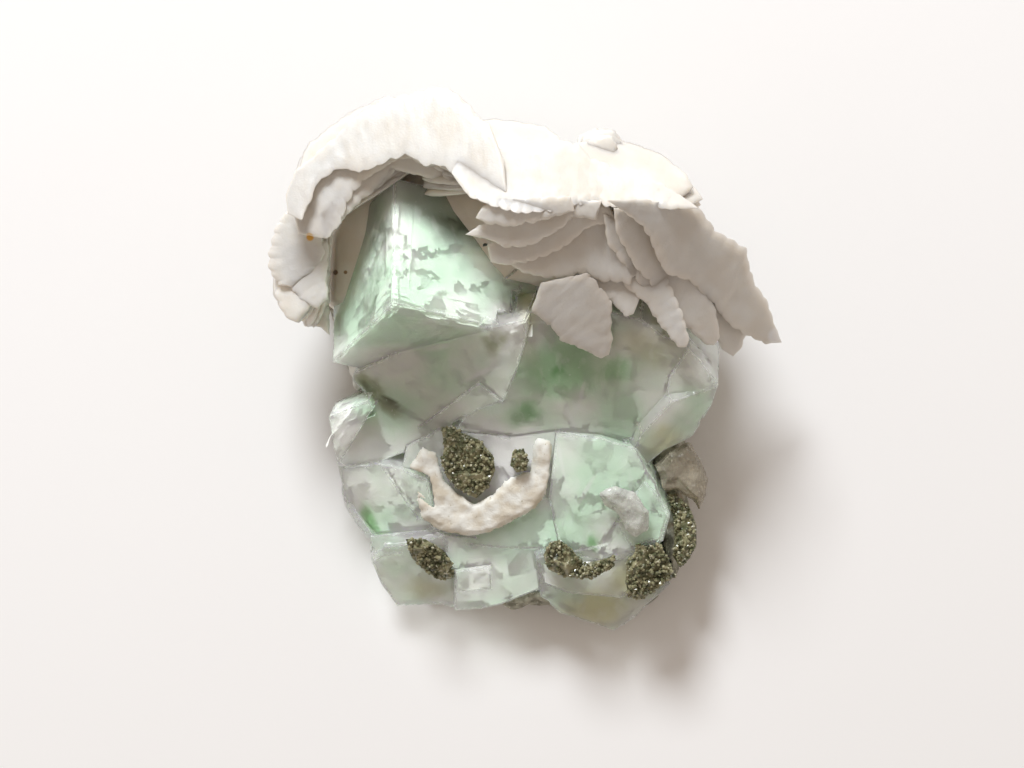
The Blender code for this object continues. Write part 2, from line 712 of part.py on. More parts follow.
def fan_pages(fan, random):
    """The pages of one fan: scalloped ovals hinged together, each longer and steeper."""
    for page, fall in enumerate(fan.falls):
        reach = fan.reach * (1.0 + PAGE_GROWTH * page) * random.uniform(0.93, 1.05)
        width = fan.width * random.uniform(0.86, 1.04)
        rim = lobed_outline(
            (random.uniform(-1.0, 1.0), PAGE_MIDDLE * reach),
            (0.5 * width, PAGE_HALF * reach),
            random.uniform(-0.1, 0.1),
            PAGE_LOBES,
            PAGE_SCALLOP,
            random.uniform(0, math.pi),
        )
        turn = Matrix.Rotation(math.radians(fan.heading + random.uniform(-7, 7) - 90), 4, "Z")
        drop = Matrix.Rotation(-math.radians(fall + random.uniform(-3, 3)), 4, "X")
        place = Matrix.Translation(fan.hinge) @ turn @ drop
        yield blade_mesh(Blade(rim, Plane(0.0), PAGE_THICKNESS), place)


def rosette_blades():
    blades = {}
    for level, (radius, height) in enumerate(BACK_ROSETTE_SIZES):
        rim = lobed_outline(BACK_ROSETTE_CENTRE, (radius, radius), 0.3 * level, 5, 0.12, level)
        slope = -0.12
        level_plane = Plane(height - slope * BACK_ROSETTE_CENTRE[1], 0.0, slope)
        blades[f"rosette_{level}"] = Blade(rim, level_plane, 2.4)
    return blades


def inside(outline, x, y):
    """Whether a point lies inside an outline, by counting the sides that it is left of."""
    points = np.array(outline)
    following = np.roll(points, -1, axis=0)
    within = False
    for (x0, y0), (x1, y1) in zip(points, following):
        if (y0 > y) != (y1 > y) and x < x0 + (y - y0) * (x1 - x0) / (y1 - y0):
            within = not within
    return within


def facet_mesh(outline, plane, rise, random):
    """A patch whose top is a net of small crystal facets, each corner at a height of its own."""
    rim = walked(outline, FACET_SPACING)
    inner = offset(outline, -0.5 * FACET_SPACING)
    low, high = rim.min(axis=0), rim.max(axis=0)
    points = [Vector(corner) for corner in rim]
    for x in np.arange(low[0], high[0], FACET_SPACING):
        for y in np.arange(low[1], high[1], FACET_SPACING):
            px, py = np.array((x, y)) + random.uniform(-0.35, 0.35, 2) * FACET_SPACING
            if inside(inner, px, py):
                points.append(Vector((px, py)))
    corners, _, facets, *_ = delaunay_2d_cdt(points, [], [list(range(len(rim)))], 1, 1e-5)
    bm = bmesh.new()
    for count, (x, y) in enumerate(corners):
        height = random.uniform(0.1, 1.0) * rise if count >= len(rim) else 0.0
        bm.verts.new((x, y, plane.at(x, y) + height))
    bm.verts.ensure_lookup_table()
    top = [bm.faces.new([bm.verts[corner] for corner in facet]) for facet in facets]
    extruded = bmesh.ops.extrude_face_region(bm, geom=top)
    for part in extruded["geom"]:
        if isinstance(part, bmesh.types.BMVert):
            x, y, _ = part.co
            part.co.z = max(plane.at(x, y) - PATCH_DEPTH, PATCH_FLOOR)
    return bm


def add_boolean(target, operation, operand, self_crossing=False):
    """A Boolean with another object, or with every object of a collection."""
    modifier = target.modifiers.new(operation.title(), "BOOLEAN")
    modifier.operation = operation
    modifier.solver = "EXACT"
    modifier.use_self = self_crossing
    if isinstance(operand, bpy.types.Collection):
        modifier.operand_type = "COLLECTION"
        modifier.collection = operand
    else:
        modifier.object = operand


def hide(cutter):
    cutter.hide_render = True
    cutter.display_type = "WIRE"
    return cutter


def add_fluorite(part, cutters, finish):
    """All the crystals grown into one solid, and the same with room round it for its neighbours."""
    blocks = {**FLUORITE, **GROWTH_STEPS}
    crystals = bpy.data.collections.new("fluorite_crystals")
    grown = bpy.data.collections.new("fluorite_room")
    notches = bpy.data.collections.new("fluorite_notches")
    for inner in (crystals, grown, notches):
        cutters.children.link(inner)
    for name, block in blocks.items():
        hide(add_object(name, block_mesh(block), crystals))
        hide(add_object(f"{name}_room", block_mesh(block, GAP), grown))
    for name, block in CORES.items():
        hide(add_object(name, block_mesh(block, upright=True), crystals))
        hide(add_object(f"{name}_room", block_mesh(block, GAP, upright=True), grown))
    for count, (start, size) in enumerate(CUBE_NOTCHES):
        hide(add_object(f"notch_{count}", notch_mesh(start, size), notches))
    cluster = add_object("fluorite_cluster", cube_mesh(), part, finish)
    add_boolean(cluster, "DIFFERENCE", notches)
    add_boolean(cluster, "UNION", crystals)
    ground = hide(add_object("fluorite_ground", ground_mesh(FLUORITE_FLOOR), cutters))
    add_boolean(cluster, "DIFFERENCE", ground)
    room = hide(add_object("fluorite_cluster_room", cube_mesh(GAP), cutters))
    add_boolean(room, "UNION", grown)
    ground = hide(add_object("fluorite_room_ground", ground_mesh(FLUORITE_FLOOR - GAP), cutters))
    add_boolean(room, "DIFFERENCE", ground)
    return room


def add_calcite(part, cutters, room, finish, random):
    """The blades, the fans under them and their root, joined and seated on the fluorite."""
    plates = bpy.data.collections.new("calcite_plates")
    cutters.children.link(plates)
    for name, blade in {**CALCITE, **rosette_blades()}.items():
        hide(add_object(f"blade_{name}", blade_mesh(blade), plates))
    for name, fan in FANS.items():
        for page, bm in enumerate(fan_pages(fan, random)):
            hide(add_object(f"page_{name}_{page}", bm, plates))
    root = ringed_mesh(ROOT_OUTLINE, ROOT_PLANE, ROOT_RINGS, ROOT_SPACING, random)
    cut_below(root, CALCITE_FLOOR)
    calcite = add_object("calcite_blades", root, part, finish)
    add_boolean(calcite, "UNION", plates)
    add_boolean(calcite, "DIFFERENCE", room, self_crossing=True)


def add_patch(name, outline, plane, rise, part, room, finish, random):
    """A patch of small crystals, seated on the fluorite."""
    patch = add_object(name, facet_mesh(outline, plane, rise, random), part, finish)
    add_boolean(patch, "DIFFERENCE", room)


def add_lump(name, outline, plane, rings, part, room, finish, random):
    """A lump of rings, seated on the fluorite."""
    lump_mesh = ringed_mesh(outline, plane, rings, RING_SPACING, random)
    add_boolean(add_object(name, lump_mesh, part, finish), "DIFFERENCE", room)


def clear_scene():
    for old in list(bpy.data.objects):
        bpy.data.objects.remove(old, do_unlink=True)


def main():
    clear_scene()
    random = np.random.default_rng(SEED)
    part = collection("fluorite_specimen")
    cutters = collection("cutters")
    pale_green = material("fluorite", (0.56, 0.72, 0.58), 0.12, 0.7, 1.434)
    cream = material("calcite", (0.90, 0.84, 0.76), 0.35, 0.15, 1.49)
    olive = material("druse", (0.20, 0.20, 0.11), 0.25)
    room = add_fluorite(part, cutters, pale_green)
    add_calcite(part, cutters, room, cream, random)
    for name, (outline, plane, rise) in PATCHES.items():
        add_patch(name, outline, plane, rise, part, room, olive, random)
    white = material("crust", (0.90, 0.89, 0.84), 0.8)
    clear = material("clear_crystal", (0.88, 0.88, 0.82), 0.15, 0.6, 1.49)
    smoky = material("smoky_quartz", (0.52, 0.47, 0.38), 0.2, 0.5, 1.46)
    rock = material("matrix", (0.36, 0.35, 0.29), 0.75)
    add_lump("chalky_crust", CRUST_OUTLINE, CRUST_PLANE, CRUST_RINGS, part, room, white, random)
    add_lump(
        "clear_crystal", CLEAR_CRYSTAL_OUTLINE, CLEAR_CRYSTAL_PLANE, CLEAR_CRYSTAL_RINGS,
        part, room, clear, random,
    )
    add_lump(
        "smoky_lump", SMOKY_LUMP_OUTLINE, Plane(0.0), SMOKY_LUMP_RINGS, part, room, smoky, random
    )
    add_lump("matrix", MATRIX_OUTLINE, Plane(0.0), MATRIX_RINGS, part, room, rock, random)


main()
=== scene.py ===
import math

import bmesh
import bpy
import numpy as np
from mathutils import Matrix, Vector


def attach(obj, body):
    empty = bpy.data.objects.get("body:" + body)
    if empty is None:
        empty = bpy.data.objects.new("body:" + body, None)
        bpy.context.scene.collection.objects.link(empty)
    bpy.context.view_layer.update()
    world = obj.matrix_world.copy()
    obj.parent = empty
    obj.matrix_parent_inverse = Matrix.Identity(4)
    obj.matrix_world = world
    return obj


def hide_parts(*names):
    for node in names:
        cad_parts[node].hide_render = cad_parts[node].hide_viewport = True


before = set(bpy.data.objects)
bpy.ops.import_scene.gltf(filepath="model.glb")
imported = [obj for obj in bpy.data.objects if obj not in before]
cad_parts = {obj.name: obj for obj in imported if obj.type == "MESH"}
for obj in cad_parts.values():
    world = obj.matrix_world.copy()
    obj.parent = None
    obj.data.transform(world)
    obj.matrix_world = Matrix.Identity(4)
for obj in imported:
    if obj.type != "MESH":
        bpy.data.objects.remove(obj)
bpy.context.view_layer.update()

mm = 0.001
print("stage: frame loaded")

# Measures below are in millimetres in the part's own frame, unless a note says otherwise.

studio = {
    "lookAt": (-1.8, -3.1, 15.0),
    "cameraHeight": 1200.0,  # over the point looked at: a long lens, straight down
    "seenWidth": 140.3,
    "paperColour": (0.93, 0.925, 0.92),
    "paperReach": 900.0,
    "keyFrom": (-0.21, 0.76, 0.61),  # direction to the main light
    "keyDistance": 900.0,
    "keySize": 300.0,
    "keyPower": 8.6,  # watts
    "keyColour": (0.92, 0.96, 1.0),
    "skyColour": (1.0, 0.86, 0.75),
    "skyStrength": 0.43,
}


# Number fields and meshes.

# Random field: each corner of a cubic lattice has a hashed value from -1 to 1, and the eight
# round a point are blended by 3t^2 - 2t^3 along each axis.
def cloudField(points, size, seed):
    place = np.asarray(points, float) / size
    base = np.floor(place).astype(np.int64)
    t = place - base
    t = t * t * (3 - 2 * t)
    total = np.zeros(len(place))
    for corner in np.ndindex(2, 2, 2):
        at = base + np.array(corner)
        mixed = at[:, 0] * 374761393 + at[:, 1] * 668265263 + at[:, 2] * 951274213 + seed * 1274126177
        mixed = (mixed ^ (mixed >> 13)) * 1103515245
        value = ((mixed ^ (mixed >> 16)) & 65535) / 32767.5 - 1
        weight = np.prod(np.where(np.array(corner) == 1, t, 1 - t), axis=1)
        total += value * weight
    return total


# Sum of the field at half the size and half the strength, again and again.
def fractalField(points, size, seed, octaves=3):
    total = np.zeros(len(points))
    for octave in range(octaves):
        total += cloudField(points, size / 2 ** octave, seed + octave) / 2 ** octave
    return total


# The four-sided faces between neighbours of a grid that is stored row by row.
def gridFaces(rows, columns, ring=False):
    index = np.arange(rows * columns).reshape(rows, columns)
    if ring:
        index = np.concatenate([index, index[:, :1]], axis=1)
    return np.stack([index[:-1, :-1], index[:-1, 1:], index[1:, 1:], index[1:, :-1]], -1).reshape(-1, 4)


def makePiece(name, points, faces, finish, smooth=True, near=None):
    mesh = bpy.data.meshes.new(name)
    mesh.from_pydata((np.asarray(points) * mm).tolist(), [], np.asarray(faces).tolist())
    mesh.polygons.foreach_set("use_smooth", np.full(len(mesh.polygons), smooth))
    if near is not None:
        mesh.attributes.new("rimNear", "FLOAT", "POINT").data.foreach_set("value", np.asarray(near, float))
    mesh.materials.append(finish)
    piece = bpy.data.objects.new(name, mesh)
    bpy.context.scene.collection.objects.link(piece)
    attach(piece, "root")
    return piece


# Several meshes as one list of points, one of faces and one of a value for each point.
def joined(parts):
    points, faces, values, start = [], [], [], 0
    for partPoints, partFaces, value in parts:
        points.append(partPoints)
        faces.append(np.asarray(partFaces) + start)
        values.append(np.broadcast_to(value, len(partPoints)))
        start += len(partPoints)
    return np.concatenate(points), np.concatenate(faces), np.concatenate(values)


# A node's loose triangles merged into one closed skin, with flat neighbours made one face.
def mergedCopy(nodeName, weld=0.02, flat=1.0):
    bm = bmesh.new()
    bm.from_mesh(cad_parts[nodeName].data)
    bmesh.ops.remove_doubles(bm, verts=bm.verts, dist=weld * mm)
    bmesh.ops.dissolve_limit(bm, angle_limit=math.radians(flat), verts=bm.verts, edges=bm.edges)
    return bm


def pieceFromBmesh(name, bm, finish, smooth=False):
    mesh = bpy.data.meshes.new(name)
    bm.to_mesh(mesh)
    bm.free()
    mesh.polygons.foreach_set("use_smooth", np.full(len(mesh.polygons), smooth))
    mesh.materials.append(finish)
    piece = bpy.data.objects.new(name, mesh)
    bpy.context.scene.collection.objects.link(piece)
    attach(piece, "root")
    return piece


# Material building blocks.


class Finish:
    def __init__(self, name):
        self.material = bpy.data.materials.new(name)
        self.material.use_nodes = True
        self.tree = self.material.node_tree
        self.shader = self.tree.nodes["Principled BSDF"]
        self.output = self.tree.nodes["Material Output"]
        self.place = self.tree.nodes.new("ShaderNodeTexCoord").outputs["Object"]

    def add(self, kind, inputs=None, **settings):
        node = self.tree.nodes.new(kind)
        for key, value in settings.items():
            setattr(node, key, value)
        for key, value in (inputs or {}).items():
            self.feed(node.inputs[key], value)
        return node

    def feed(self, socket, value):
        if isinstance(value, bpy.types.NodeSocket):
            self.tree.links.new(value, socket)
        else:
            socket.default_value = value

    def set(self, key, value):
        self.feed(self.shader.inputs[key], value)

    # a noise from 0 to 1 whose grains are about `size` millimetres
    def noise(self, size, detail=3.0, stretch=None, roughness=0.5):
        place = self.place
        if stretch:
            turn, scale = stretch
            place = self.add("ShaderNodeMapping", {"Vector": place, "Rotation": turn, "Scale": scale}).outputs[0]
        made = self.add("ShaderNodeTexNoise", {"Vector": place, "Scale": 1 / (size * mm), "Detail": detail, "Roughness": roughness})
        return made.outputs["Fac"]

    def mapped(self, value, low, high, outLow=0.0, outHigh=1.0):
        made = self.add("ShaderNodeMapRange", {"Value": value, "From Min": low, "From Max": high, "To Min": outLow, "To Max": outHigh})
        made.interpolation_type = "SMOOTHSTEP"
        return made.outputs["Result"]

    def mixed(self, share, first, second, mode="MIX"):
        made = self.tree.nodes.new("ShaderNodeMix")
        made.data_type = "RGBA"
        made.blend_type = mode
        self.feed(made.inputs[0], share)
        self.feed(made.inputs[6], first)
        self.feed(made.inputs[7], second)
        return made.outputs[2]

    def math(self, kind, first, second=0.0):
        made = self.add("ShaderNodeMath", operation=kind)
        self.feed(made.inputs[0], first)
        self.feed(made.inputs[1], second)
        return made.outputs[0]

    # 1 inside a soft ellipsoid at a place, 0 outside: the length of (p - centre) / radii, turned about Z
    def stain(self, centre, radii, turn=0.0, soft=0.5):
        moved = self.add("ShaderNodeMapping", {
            "Vector": self.place,
            "Location": [c * mm for c in centre],
            "Rotation": (0, 0, math.radians(turn)),
            "Scale": [r * mm for r in radii],
        }, vector_type="TEXTURE")
        length = self.add("ShaderNodeVectorMath", {0: moved.outputs[0]}, operation="LENGTH").outputs["Value"]
        rough = self.math("ADD", length, self.math("MULTIPLY", self.math("SUBTRACT", self.noise(1.6), 0.5), 0.9))
        return self.mapped(rough, 1.0 + soft, 1.0 - soft)

    # The same for an upright column over an ellipse, round a point that may have been nudged.
    def column(self, centre, radii, turn, soft, around):
        moved = self.add("ShaderNodeMapping", {
            "Vector": around,
            "Location": (centre[0] * mm, centre[1] * mm, 0.0),
            "Rotation": (0, 0, math.radians(turn)),
            "Scale": (radii[0] * mm, radii[1] * mm, 1.0),
        }, vector_type="TEXTURE")
        length = self.add("ShaderNodeVectorMath", {0: moved.outputs[0]}, operation="LENGTH").outputs["Value"]
        return self.mapped(length, 1.0 + soft, 1.0 - soft)

    def bump(self, height, strength, distance, below=None):
        made = self.add("ShaderNodeBump", {"Height": height, "Strength": strength, "Distance": distance * mm})
        if below is not None:
            self.feed(made.inputs["Normal"], below)
        return made.outputs["Normal"]


def rgb(red, green, blue):
    return (red, green, blue, 1.0)


# Finishes.

fluoriteLook = {
    "clearShare": 0.55,  # of plain see-through crystal, the rest is milky
    "ior": 1.434,
    "roughness": 0.06,
    "milk": (0.94, 0.96, 0.90),
    "mint": (0.76, 0.90, 0.76),
    "scatterRadius": (1.0, 1.1, 0.9),
    "scatterScale": 8.0,
    "scatterShare": 0.8,
    "edgeWhite": (0.96, 0.98, 0.94),
}

# Stains and zones in the crystals, with some painted shade: colour, share, and ellipses of centre, radii, turn and
# softness.
fluoriteZonesAndShade = [
    # The grey, dark grey and near-black ellipses round (-12 to -5, 17 to 22) are partly dark inclusions and partly
    # painted shade of the calcite tips over that crystal face.
    ((0.60, 0.66, 0.60), 0.80, [(-12.6, 21.6, 5.6, 3.0, -12, 0.45), (-7.0, 17.6, 5.0, 2.6, -10, 0.5), (-21.6, 18.6, 1.2, 3.4, -28, 0.4)]),
    ((0.40, 0.46, 0.38), 0.75, [(-9.0, 18.6, 4.2, 1.7, -10, 0.6), (-19.6, 17.2, 0.7, 3.0, -24, 0.5), (-21.0, 9.0, 0.6, 3.6, -14, 0.6)]),
    ((0.10, 0.12, 0.08), 0.85, [(-7.6, 18.4, 2.6, 0.8, -16, 0.5), (-9.6, 19.4, 0.5, 0.4, 0, 0.5), (-4.9, 17.6, 0.6, 0.4, 0, 0.6)]),
    ((0.47, 0.72, 0.45), 0.75, [(5.0, -1.0, 5.2, 3.6, 14, 0.6), (-0.4, -7.2, 2.4, 1.5, 20, 0.5), (8.0, 2.8, 4.0, 2.2, 40, 0.7), (12.0, -1.4, 2.6, 1.8, 0, 0.6)]),
    ((0.25, 0.50, 0.22), 0.75, [(-0.4, -7.4, 1.5, 0.9, 30, 0.5), (4.4, -1.6, 1.1, 0.7, 0, 0.6), (9.4, -24.8, 0.9, 1.3, 0, 0.5), (-21.2, -21.8, 0.9, 2.1, 18, 0.6)]),
    ((0.42, 0.43, 0.30), 0.85, [(-21.4, -3.4, 2.6, 1.5, -28, 0.4), (-19.2, -5.6, 2.8, 1.0, -36, 0.5), (-4.0, 3.4, 2.2, 1.4, 60, 0.6)]),
    ((0.14, 0.15, 0.09), 0.80, [(-21.8, -3.6, 1.1, 0.6, -20, 0.7), (-18.6, -5.4, 0.9, 0.4, -40, 0.7)]),
    ((0.78, 0.76, 0.50), 0.75, [(9.4, -34.6, 4.6, 2.6, 10, 0.6), (15.0, -30.0, 3.0, 2.4, 0, 0.6), (0.6, 7.4, 2.2, 2.0, 30, 0.5), (19.6, -12.0, 3.0, 2.4, -50, 0.7)]),
    ((0.70, 0.68, 0.50), 0.60, [(20.0, 4.6, 3.2, 2.6, -40, 0.7), (16.0, 2.0, 4.0, 2.0, -30, 0.7), (-14.0, -31.4, 2.6, 1.0, 0, 0.6)]),
    ((0.96, 0.95, 0.92), 0.95, [(-24.4, -9.4, 2.2, 3.4, 16, 0.4), (-5.4, -13.6, 8.6, 5.8, 0, 0.5), (-14.0, -24.2, 3.8, 2.2, -20, 0.6), (-2.4, 5.6, 2.6, 2.0, 20, 0.6)]),
]

# Thin white fractures, as ellipses in the same form.
fluoriteVeins = [(7.6, -4.8, 0.28, 1.7, -14, 0.6), (6.2, -7.6, 0.26, 1.7, 22, 0.6), (2.8, -9.8, 3.6, 0.26, -12, 0.7), (-12.0, 1.9, 1.8, 0.42, 10, 0.7), (-5.6, -1.4, 3.2, 0.34, 24, 0.7), (-3.6, 0.6, 2.8, 0.30, 52, 0.7), (-16.4, -12.6, 3.9, 0.24, -20, 0.7), (4.8, -12.8, 0.24, 3.6, 10, 0.7), (8.4, -17.6, 2.2, 0.3, 60, 0.7)]


# A colour for each point of the crystals: mint blended to milk by a field, then each zone, stain or patch of painted
# shade laid over it, where the nudged point lies in one of its ellipses.
def zoneAndShadeColours(points):
    look = fluoriteLook
    nudge = np.stack([fractalField(points, 1.5, 90 + axis, 2) for axis in range(2)], axis=1)
    around = points[:, :2] + 0.7 * nudge
    share = np.clip(0.5 + 0.9 * fractalField(points, 6.0, 95, 3), 0.0, 1.0)[:, None]
    colour = (1 - share) * np.array(look["mint"]) + share * np.array(look["milk"])
    for zone, strength, ellipses in fluoriteZonesAndShade:
        mask = np.zeros(len(points))
        for x, y, wide, high, turn, soft in ellipses:
            c, s = math.cos(math.radians(turn)), math.sin(math.radians(turn))
            away = around - (x, y)
            length = np.hypot((away @ (c, s)) / wide, (away @ (-s, c)) / high)
            edge = np.clip((1.0 + soft - length) / (2 * soft), 0.0, 1.0)
            mask = np.maximum(mask, edge * edge * (3 - 2 * edge))
        mask = strength * mask[:, None]
        colour = (1 - mask) * colour + mask * np.array(zone)
    return colour


def giveColours(mesh, points):
    colours = np.concatenate([zoneAndShadeColours(points), np.ones((len(points), 1))], axis=1)
    mesh.attributes.new("tint", "FLOAT_COLOR", "POINT").data.foreach_set("color", colours.ravel())


# The crystals' colour: each point's own, painted shade included, with fine streaks and specks over it.
def fluoriteColour(f):
    colour = f.add("ShaderNodeAttribute", attribute_name="tint").outputs["Color"]
    streaks = f.mapped(f.noise(1.6, 3.0, ((0.0, 0.0, 0.45), (1.0, 0.30, 1.0))), 0.55, 0.70)
    colour = f.mixed(f.math("MULTIPLY", streaks, 0.30), colour, rgb(*fluoriteLook["edgeWhite"]))
    speck = f.mapped(f.noise(0.42, 2.0), 0.68, 0.74)
    return f.mixed(f.math("MULTIPLY", speck, 0.45), colour, rgb(0.96, 0.97, 0.93))


def fluoriteFinish():
    look = fluoriteLook
    f = Finish("milkyFluorite")
    near = f.add("ShaderNodeAttribute", attribute_name="edgeNear").outputs["Fac"]
    worn = f.mapped(f.math("ADD", near, f.math("MULTIPLY", f.noise(0.8, 2.0), 0.9)), 1.05, 1.40)
    colour = f.mixed(f.math("MULTIPLY", worn, 0.8), fluoriteColour(f), rgb(*look["edgeWhite"]))
    veins = 0.0
    for x, y, wide, high, turn, soft in fluoriteVeins:
        veins = f.math("MAXIMUM", veins, f.column((x, y), (wide, high), turn, soft, f.place))
    colour = f.mixed(f.math("MULTIPLY", veins, 0.8), colour, rgb(*look["edgeWhite"]))
    f.set("Base Color", colour)
    f.set("Transmission Weight", look["clearShare"])
    f.set("IOR", look["ior"])
    f.set("Subsurface Weight", look["scatterShare"])
    f.set("Subsurface Radius", look["scatterRadius"])
    f.set("Subsurface Scale", look["scatterScale"] * mm)
    frosted = f.mapped(f.noise(2.2, 2.0), 0.45, 0.75, look["roughness"], 0.26)
    f.set("Roughness", f.math("MAXIMUM", frosted, f.math("MULTIPLY", worn, 0.4)))
    ripple = f.noise(3.2, 2.0, ((0.0, 0.0, 0.35), (1.0, 0.22, 1.0)))
    steps = f.add("ShaderNodeMath", {0: f.math("MULTIPLY", f.noise(4.5, 1.0), 14.0)}, operation="SNAP")
    steps.inputs[1].default_value = 1.0
    grain = f.noise(0.35, 1.0)
    relief = f.bump(ripple, 0.5, 0.16, f.bump(steps.outputs[0], 0.35, 0.04))
    f.set("Normal", f.bump(grain, 0.2, 0.03, relief))
    return f.material


def veilFinish():
    f = Finish("milkyVeil")
    f.set("Base Color", fluoriteColour(f))
    f.set("Roughness", 0.55)
    f.set("Normal", f.bump(f.noise(0.8, 2.0), 0.5, 0.15))
    return f.material


calciteLook = {
    "cream": (0.78, 0.71, 0.62),
    "white": (0.84, 0.79, 0.71),
    "rust": (0.62, 0.42, 0.24),
    "roughness": 0.40,
    "scatterRadius": (1.0, 0.84, 0.66),
    "scatterScale": 3.0,
    "scatterShare": 0.5,
}


def calciteFinish():
    look = calciteLook
    f = Finish("bladedCalcite")
    colour = f.mixed(f.mapped(f.noise(6.0, 2.0), 0.38, 0.62), rgb(*look["cream"]), rgb(*look["white"]))
    grain = f.mapped(f.noise(0.5, 2.0), 0.58, 0.72)
    colour = f.mixed(f.math("MULTIPLY", grain, 0.16), colour, rgb(0.70, 0.62, 0.52))
    for centre, size, tint in (((-29.3, 16.9), 0.5, (0.85, 0.42, 0.08)), ((-26.0, 12.2), 0.35, (0.20, 0.12, 0.06)),
                               ((-24.6, 12.2), 0.25, (0.30, 0.18, 0.10)), ((34.4, 3.4), 1.1, (0.97, 0.96, 0.95))):
        colour = f.mixed(f.column(centre, (size, size), 0.0, 0.3, f.place), colour, rgb(*tint))
    rim = f.add("ShaderNodeAttribute", attribute_name="rimNear").outputs["Fac"]
    colour = f.mixed(f.math("MULTIPLY", rim, 0.5), colour, rgb(*look["white"]))
    f.set("Base Color", colour)
    f.set("Subsurface Weight", look["scatterShare"])
    f.set("Subsurface Radius", look["scatterRadius"])
    f.set("Subsurface Scale", look["scatterScale"] * mm)
    f.set("Roughness", f.mapped(f.noise(1.5, 1.0), 0.3, 0.7, look["roughness"] - 0.12, look["roughness"] + 0.15))
    fine = f.noise(0.30, 1.0)
    grooves = f.noise(1.3, 2.0, ((0.0, 0.0, 0.9), (1.0, 0.35, 1.0)))
    f.set("Normal", f.bump(fine, 0.4, 0.05, f.bump(grooves, 0.4, 0.14)))
    return f.material


def druseFinish():
    f = Finish("oliveDruse")
    patchy = f.mapped(f.noise(0.9, 2.0), 0.35, 0.65)
    colour = f.mixed(patchy, rgb(0.10, 0.11, 0.055), rgb(0.34, 0.32, 0.19))
    colour = f.mixed(f.mapped(f.noise(0.5, 1.0), 0.62, 0.72), colour, rgb(0.60, 0.58, 0.44))
    f.set("Base Color", colour)
    f.set("Roughness", f.mapped(f.noise(0.6, 2.0), 0.3, 0.7, 0.06, 0.35))
    f.set("IOR", 1.55)
    f.set("Normal", f.bump(f.noise(0.25, 2.0), 0.3, 0.04))
    return f.material


def crustFinish():
    f = Finish("chalkyCrust")
    colour = f.mixed(f.mapped(f.noise(2.4, 4.0), 0.35, 0.65), rgb(0.72, 0.66, 0.54), rgb(0.90, 0.905, 0.85))
    colour = f.mixed(f.mapped(f.noise(0.5, 3.0), 0.64, 0.76), colour, rgb(0.50, 0.46, 0.34))
    f.set("Base Color", colour)
    f.set("Roughness", f.mapped(f.noise(0.9, 3.0), 0.3, 0.7, 0.6, 0.9))
    f.set("Normal", f.bump(f.noise(0.28, 4.0), 0.7, 0.09))
    return f.material


def rockFinish():
    f = Finish("granularMatrix")
    colour = f.mixed(f.mapped(f.noise(1.4, 4.0), 0.35, 0.65), rgb(0.17, 0.165, 0.12), rgb(0.44, 0.43, 0.34))
    colour = f.mixed(f.mapped(f.noise(0.45, 3.0), 0.60, 0.68), colour, rgb(0.66, 0.64, 0.52))
    colour = f.mixed(f.mapped(f.noise(4.0, 3.0), 0.58, 0.72), colour, rgb(0.26, 0.17, 0.09))
    # painted light: pale under the crystals, in a wavering ellipse, so that the rock seen through them looks lit
    spread = f.add("ShaderNodeMapping", {"Vector": f.place, "Location": (-3.0 * mm, 0.0, 0.0), "Scale": (21.0 * mm, 29.0 * mm, 1.0)}, vector_type="TEXTURE")
    inner = f.add("ShaderNodeVectorMath", {0: spread.outputs[0]}, operation="LENGTH").outputs["Value"]
    wavering = f.math("ADD", inner, f.math("MULTIPLY", f.math("SUBTRACT", f.noise(3.0, 3.0), 0.5), 0.3))
    height = f.add("ShaderNodeSeparateXYZ", {0: f.place}).outputs[2]
    pale = f.math("MULTIPLY", f.mapped(wavering, 1.04, 0.94), f.mapped(height, 1.6 * mm, 2.6 * mm))
    colour = f.mixed(pale, colour, rgb(0.90, 0.90, 0.85))
    f.set("Base Color", colour)
    f.set("Roughness", f.mapped(f.noise(0.8, 3.0), 0.3, 0.7, 0.45, 0.85))
    f.set("Normal", f.bump(f.noise(0.30, 4.0), 0.7, 0.10, f.bump(f.noise(1.2, 4.0), 0.6, 0.3)))
    return f.material


def clearFinish(name, tint, absorb, density, clearShare):
    f = Finish(name)
    f.set("Base Color", f.mixed(f.mapped(f.noise(1.8, 4.0), 0.35, 0.65), rgb(*tint), rgb(*(0.75 * c for c in tint))))
    f.set("Transmission Weight", clearShare)
    f.set("IOR", 1.49)
    f.set("Roughness", f.mapped(f.noise(0.9, 3.0), 0.3, 0.7, 0.08, 0.36))
    f.set("Normal", f.bump(f.noise(0.5, 4.0), 0.5, 0.12))
    volume = f.add("ShaderNodeVolumeAbsorption")
    volume.inputs["Color"].default_value = rgb(*absorb)
    volume.inputs["Density"].default_value = density
    f.tree.links.new(volume.outputs[0], f.output.inputs["Volume"])
    return f.material


def paperFinish():
    f = Finish("palePaper")
    f.set("Base Color", f.mixed(f.noise(40.0, 2.0), rgb(*studio["paperColour"]), rgb(*(0.985 * c for c in studio["paperColour"]))))
    f.set("Roughness", 0.8)
    return f.material


# Calcite.

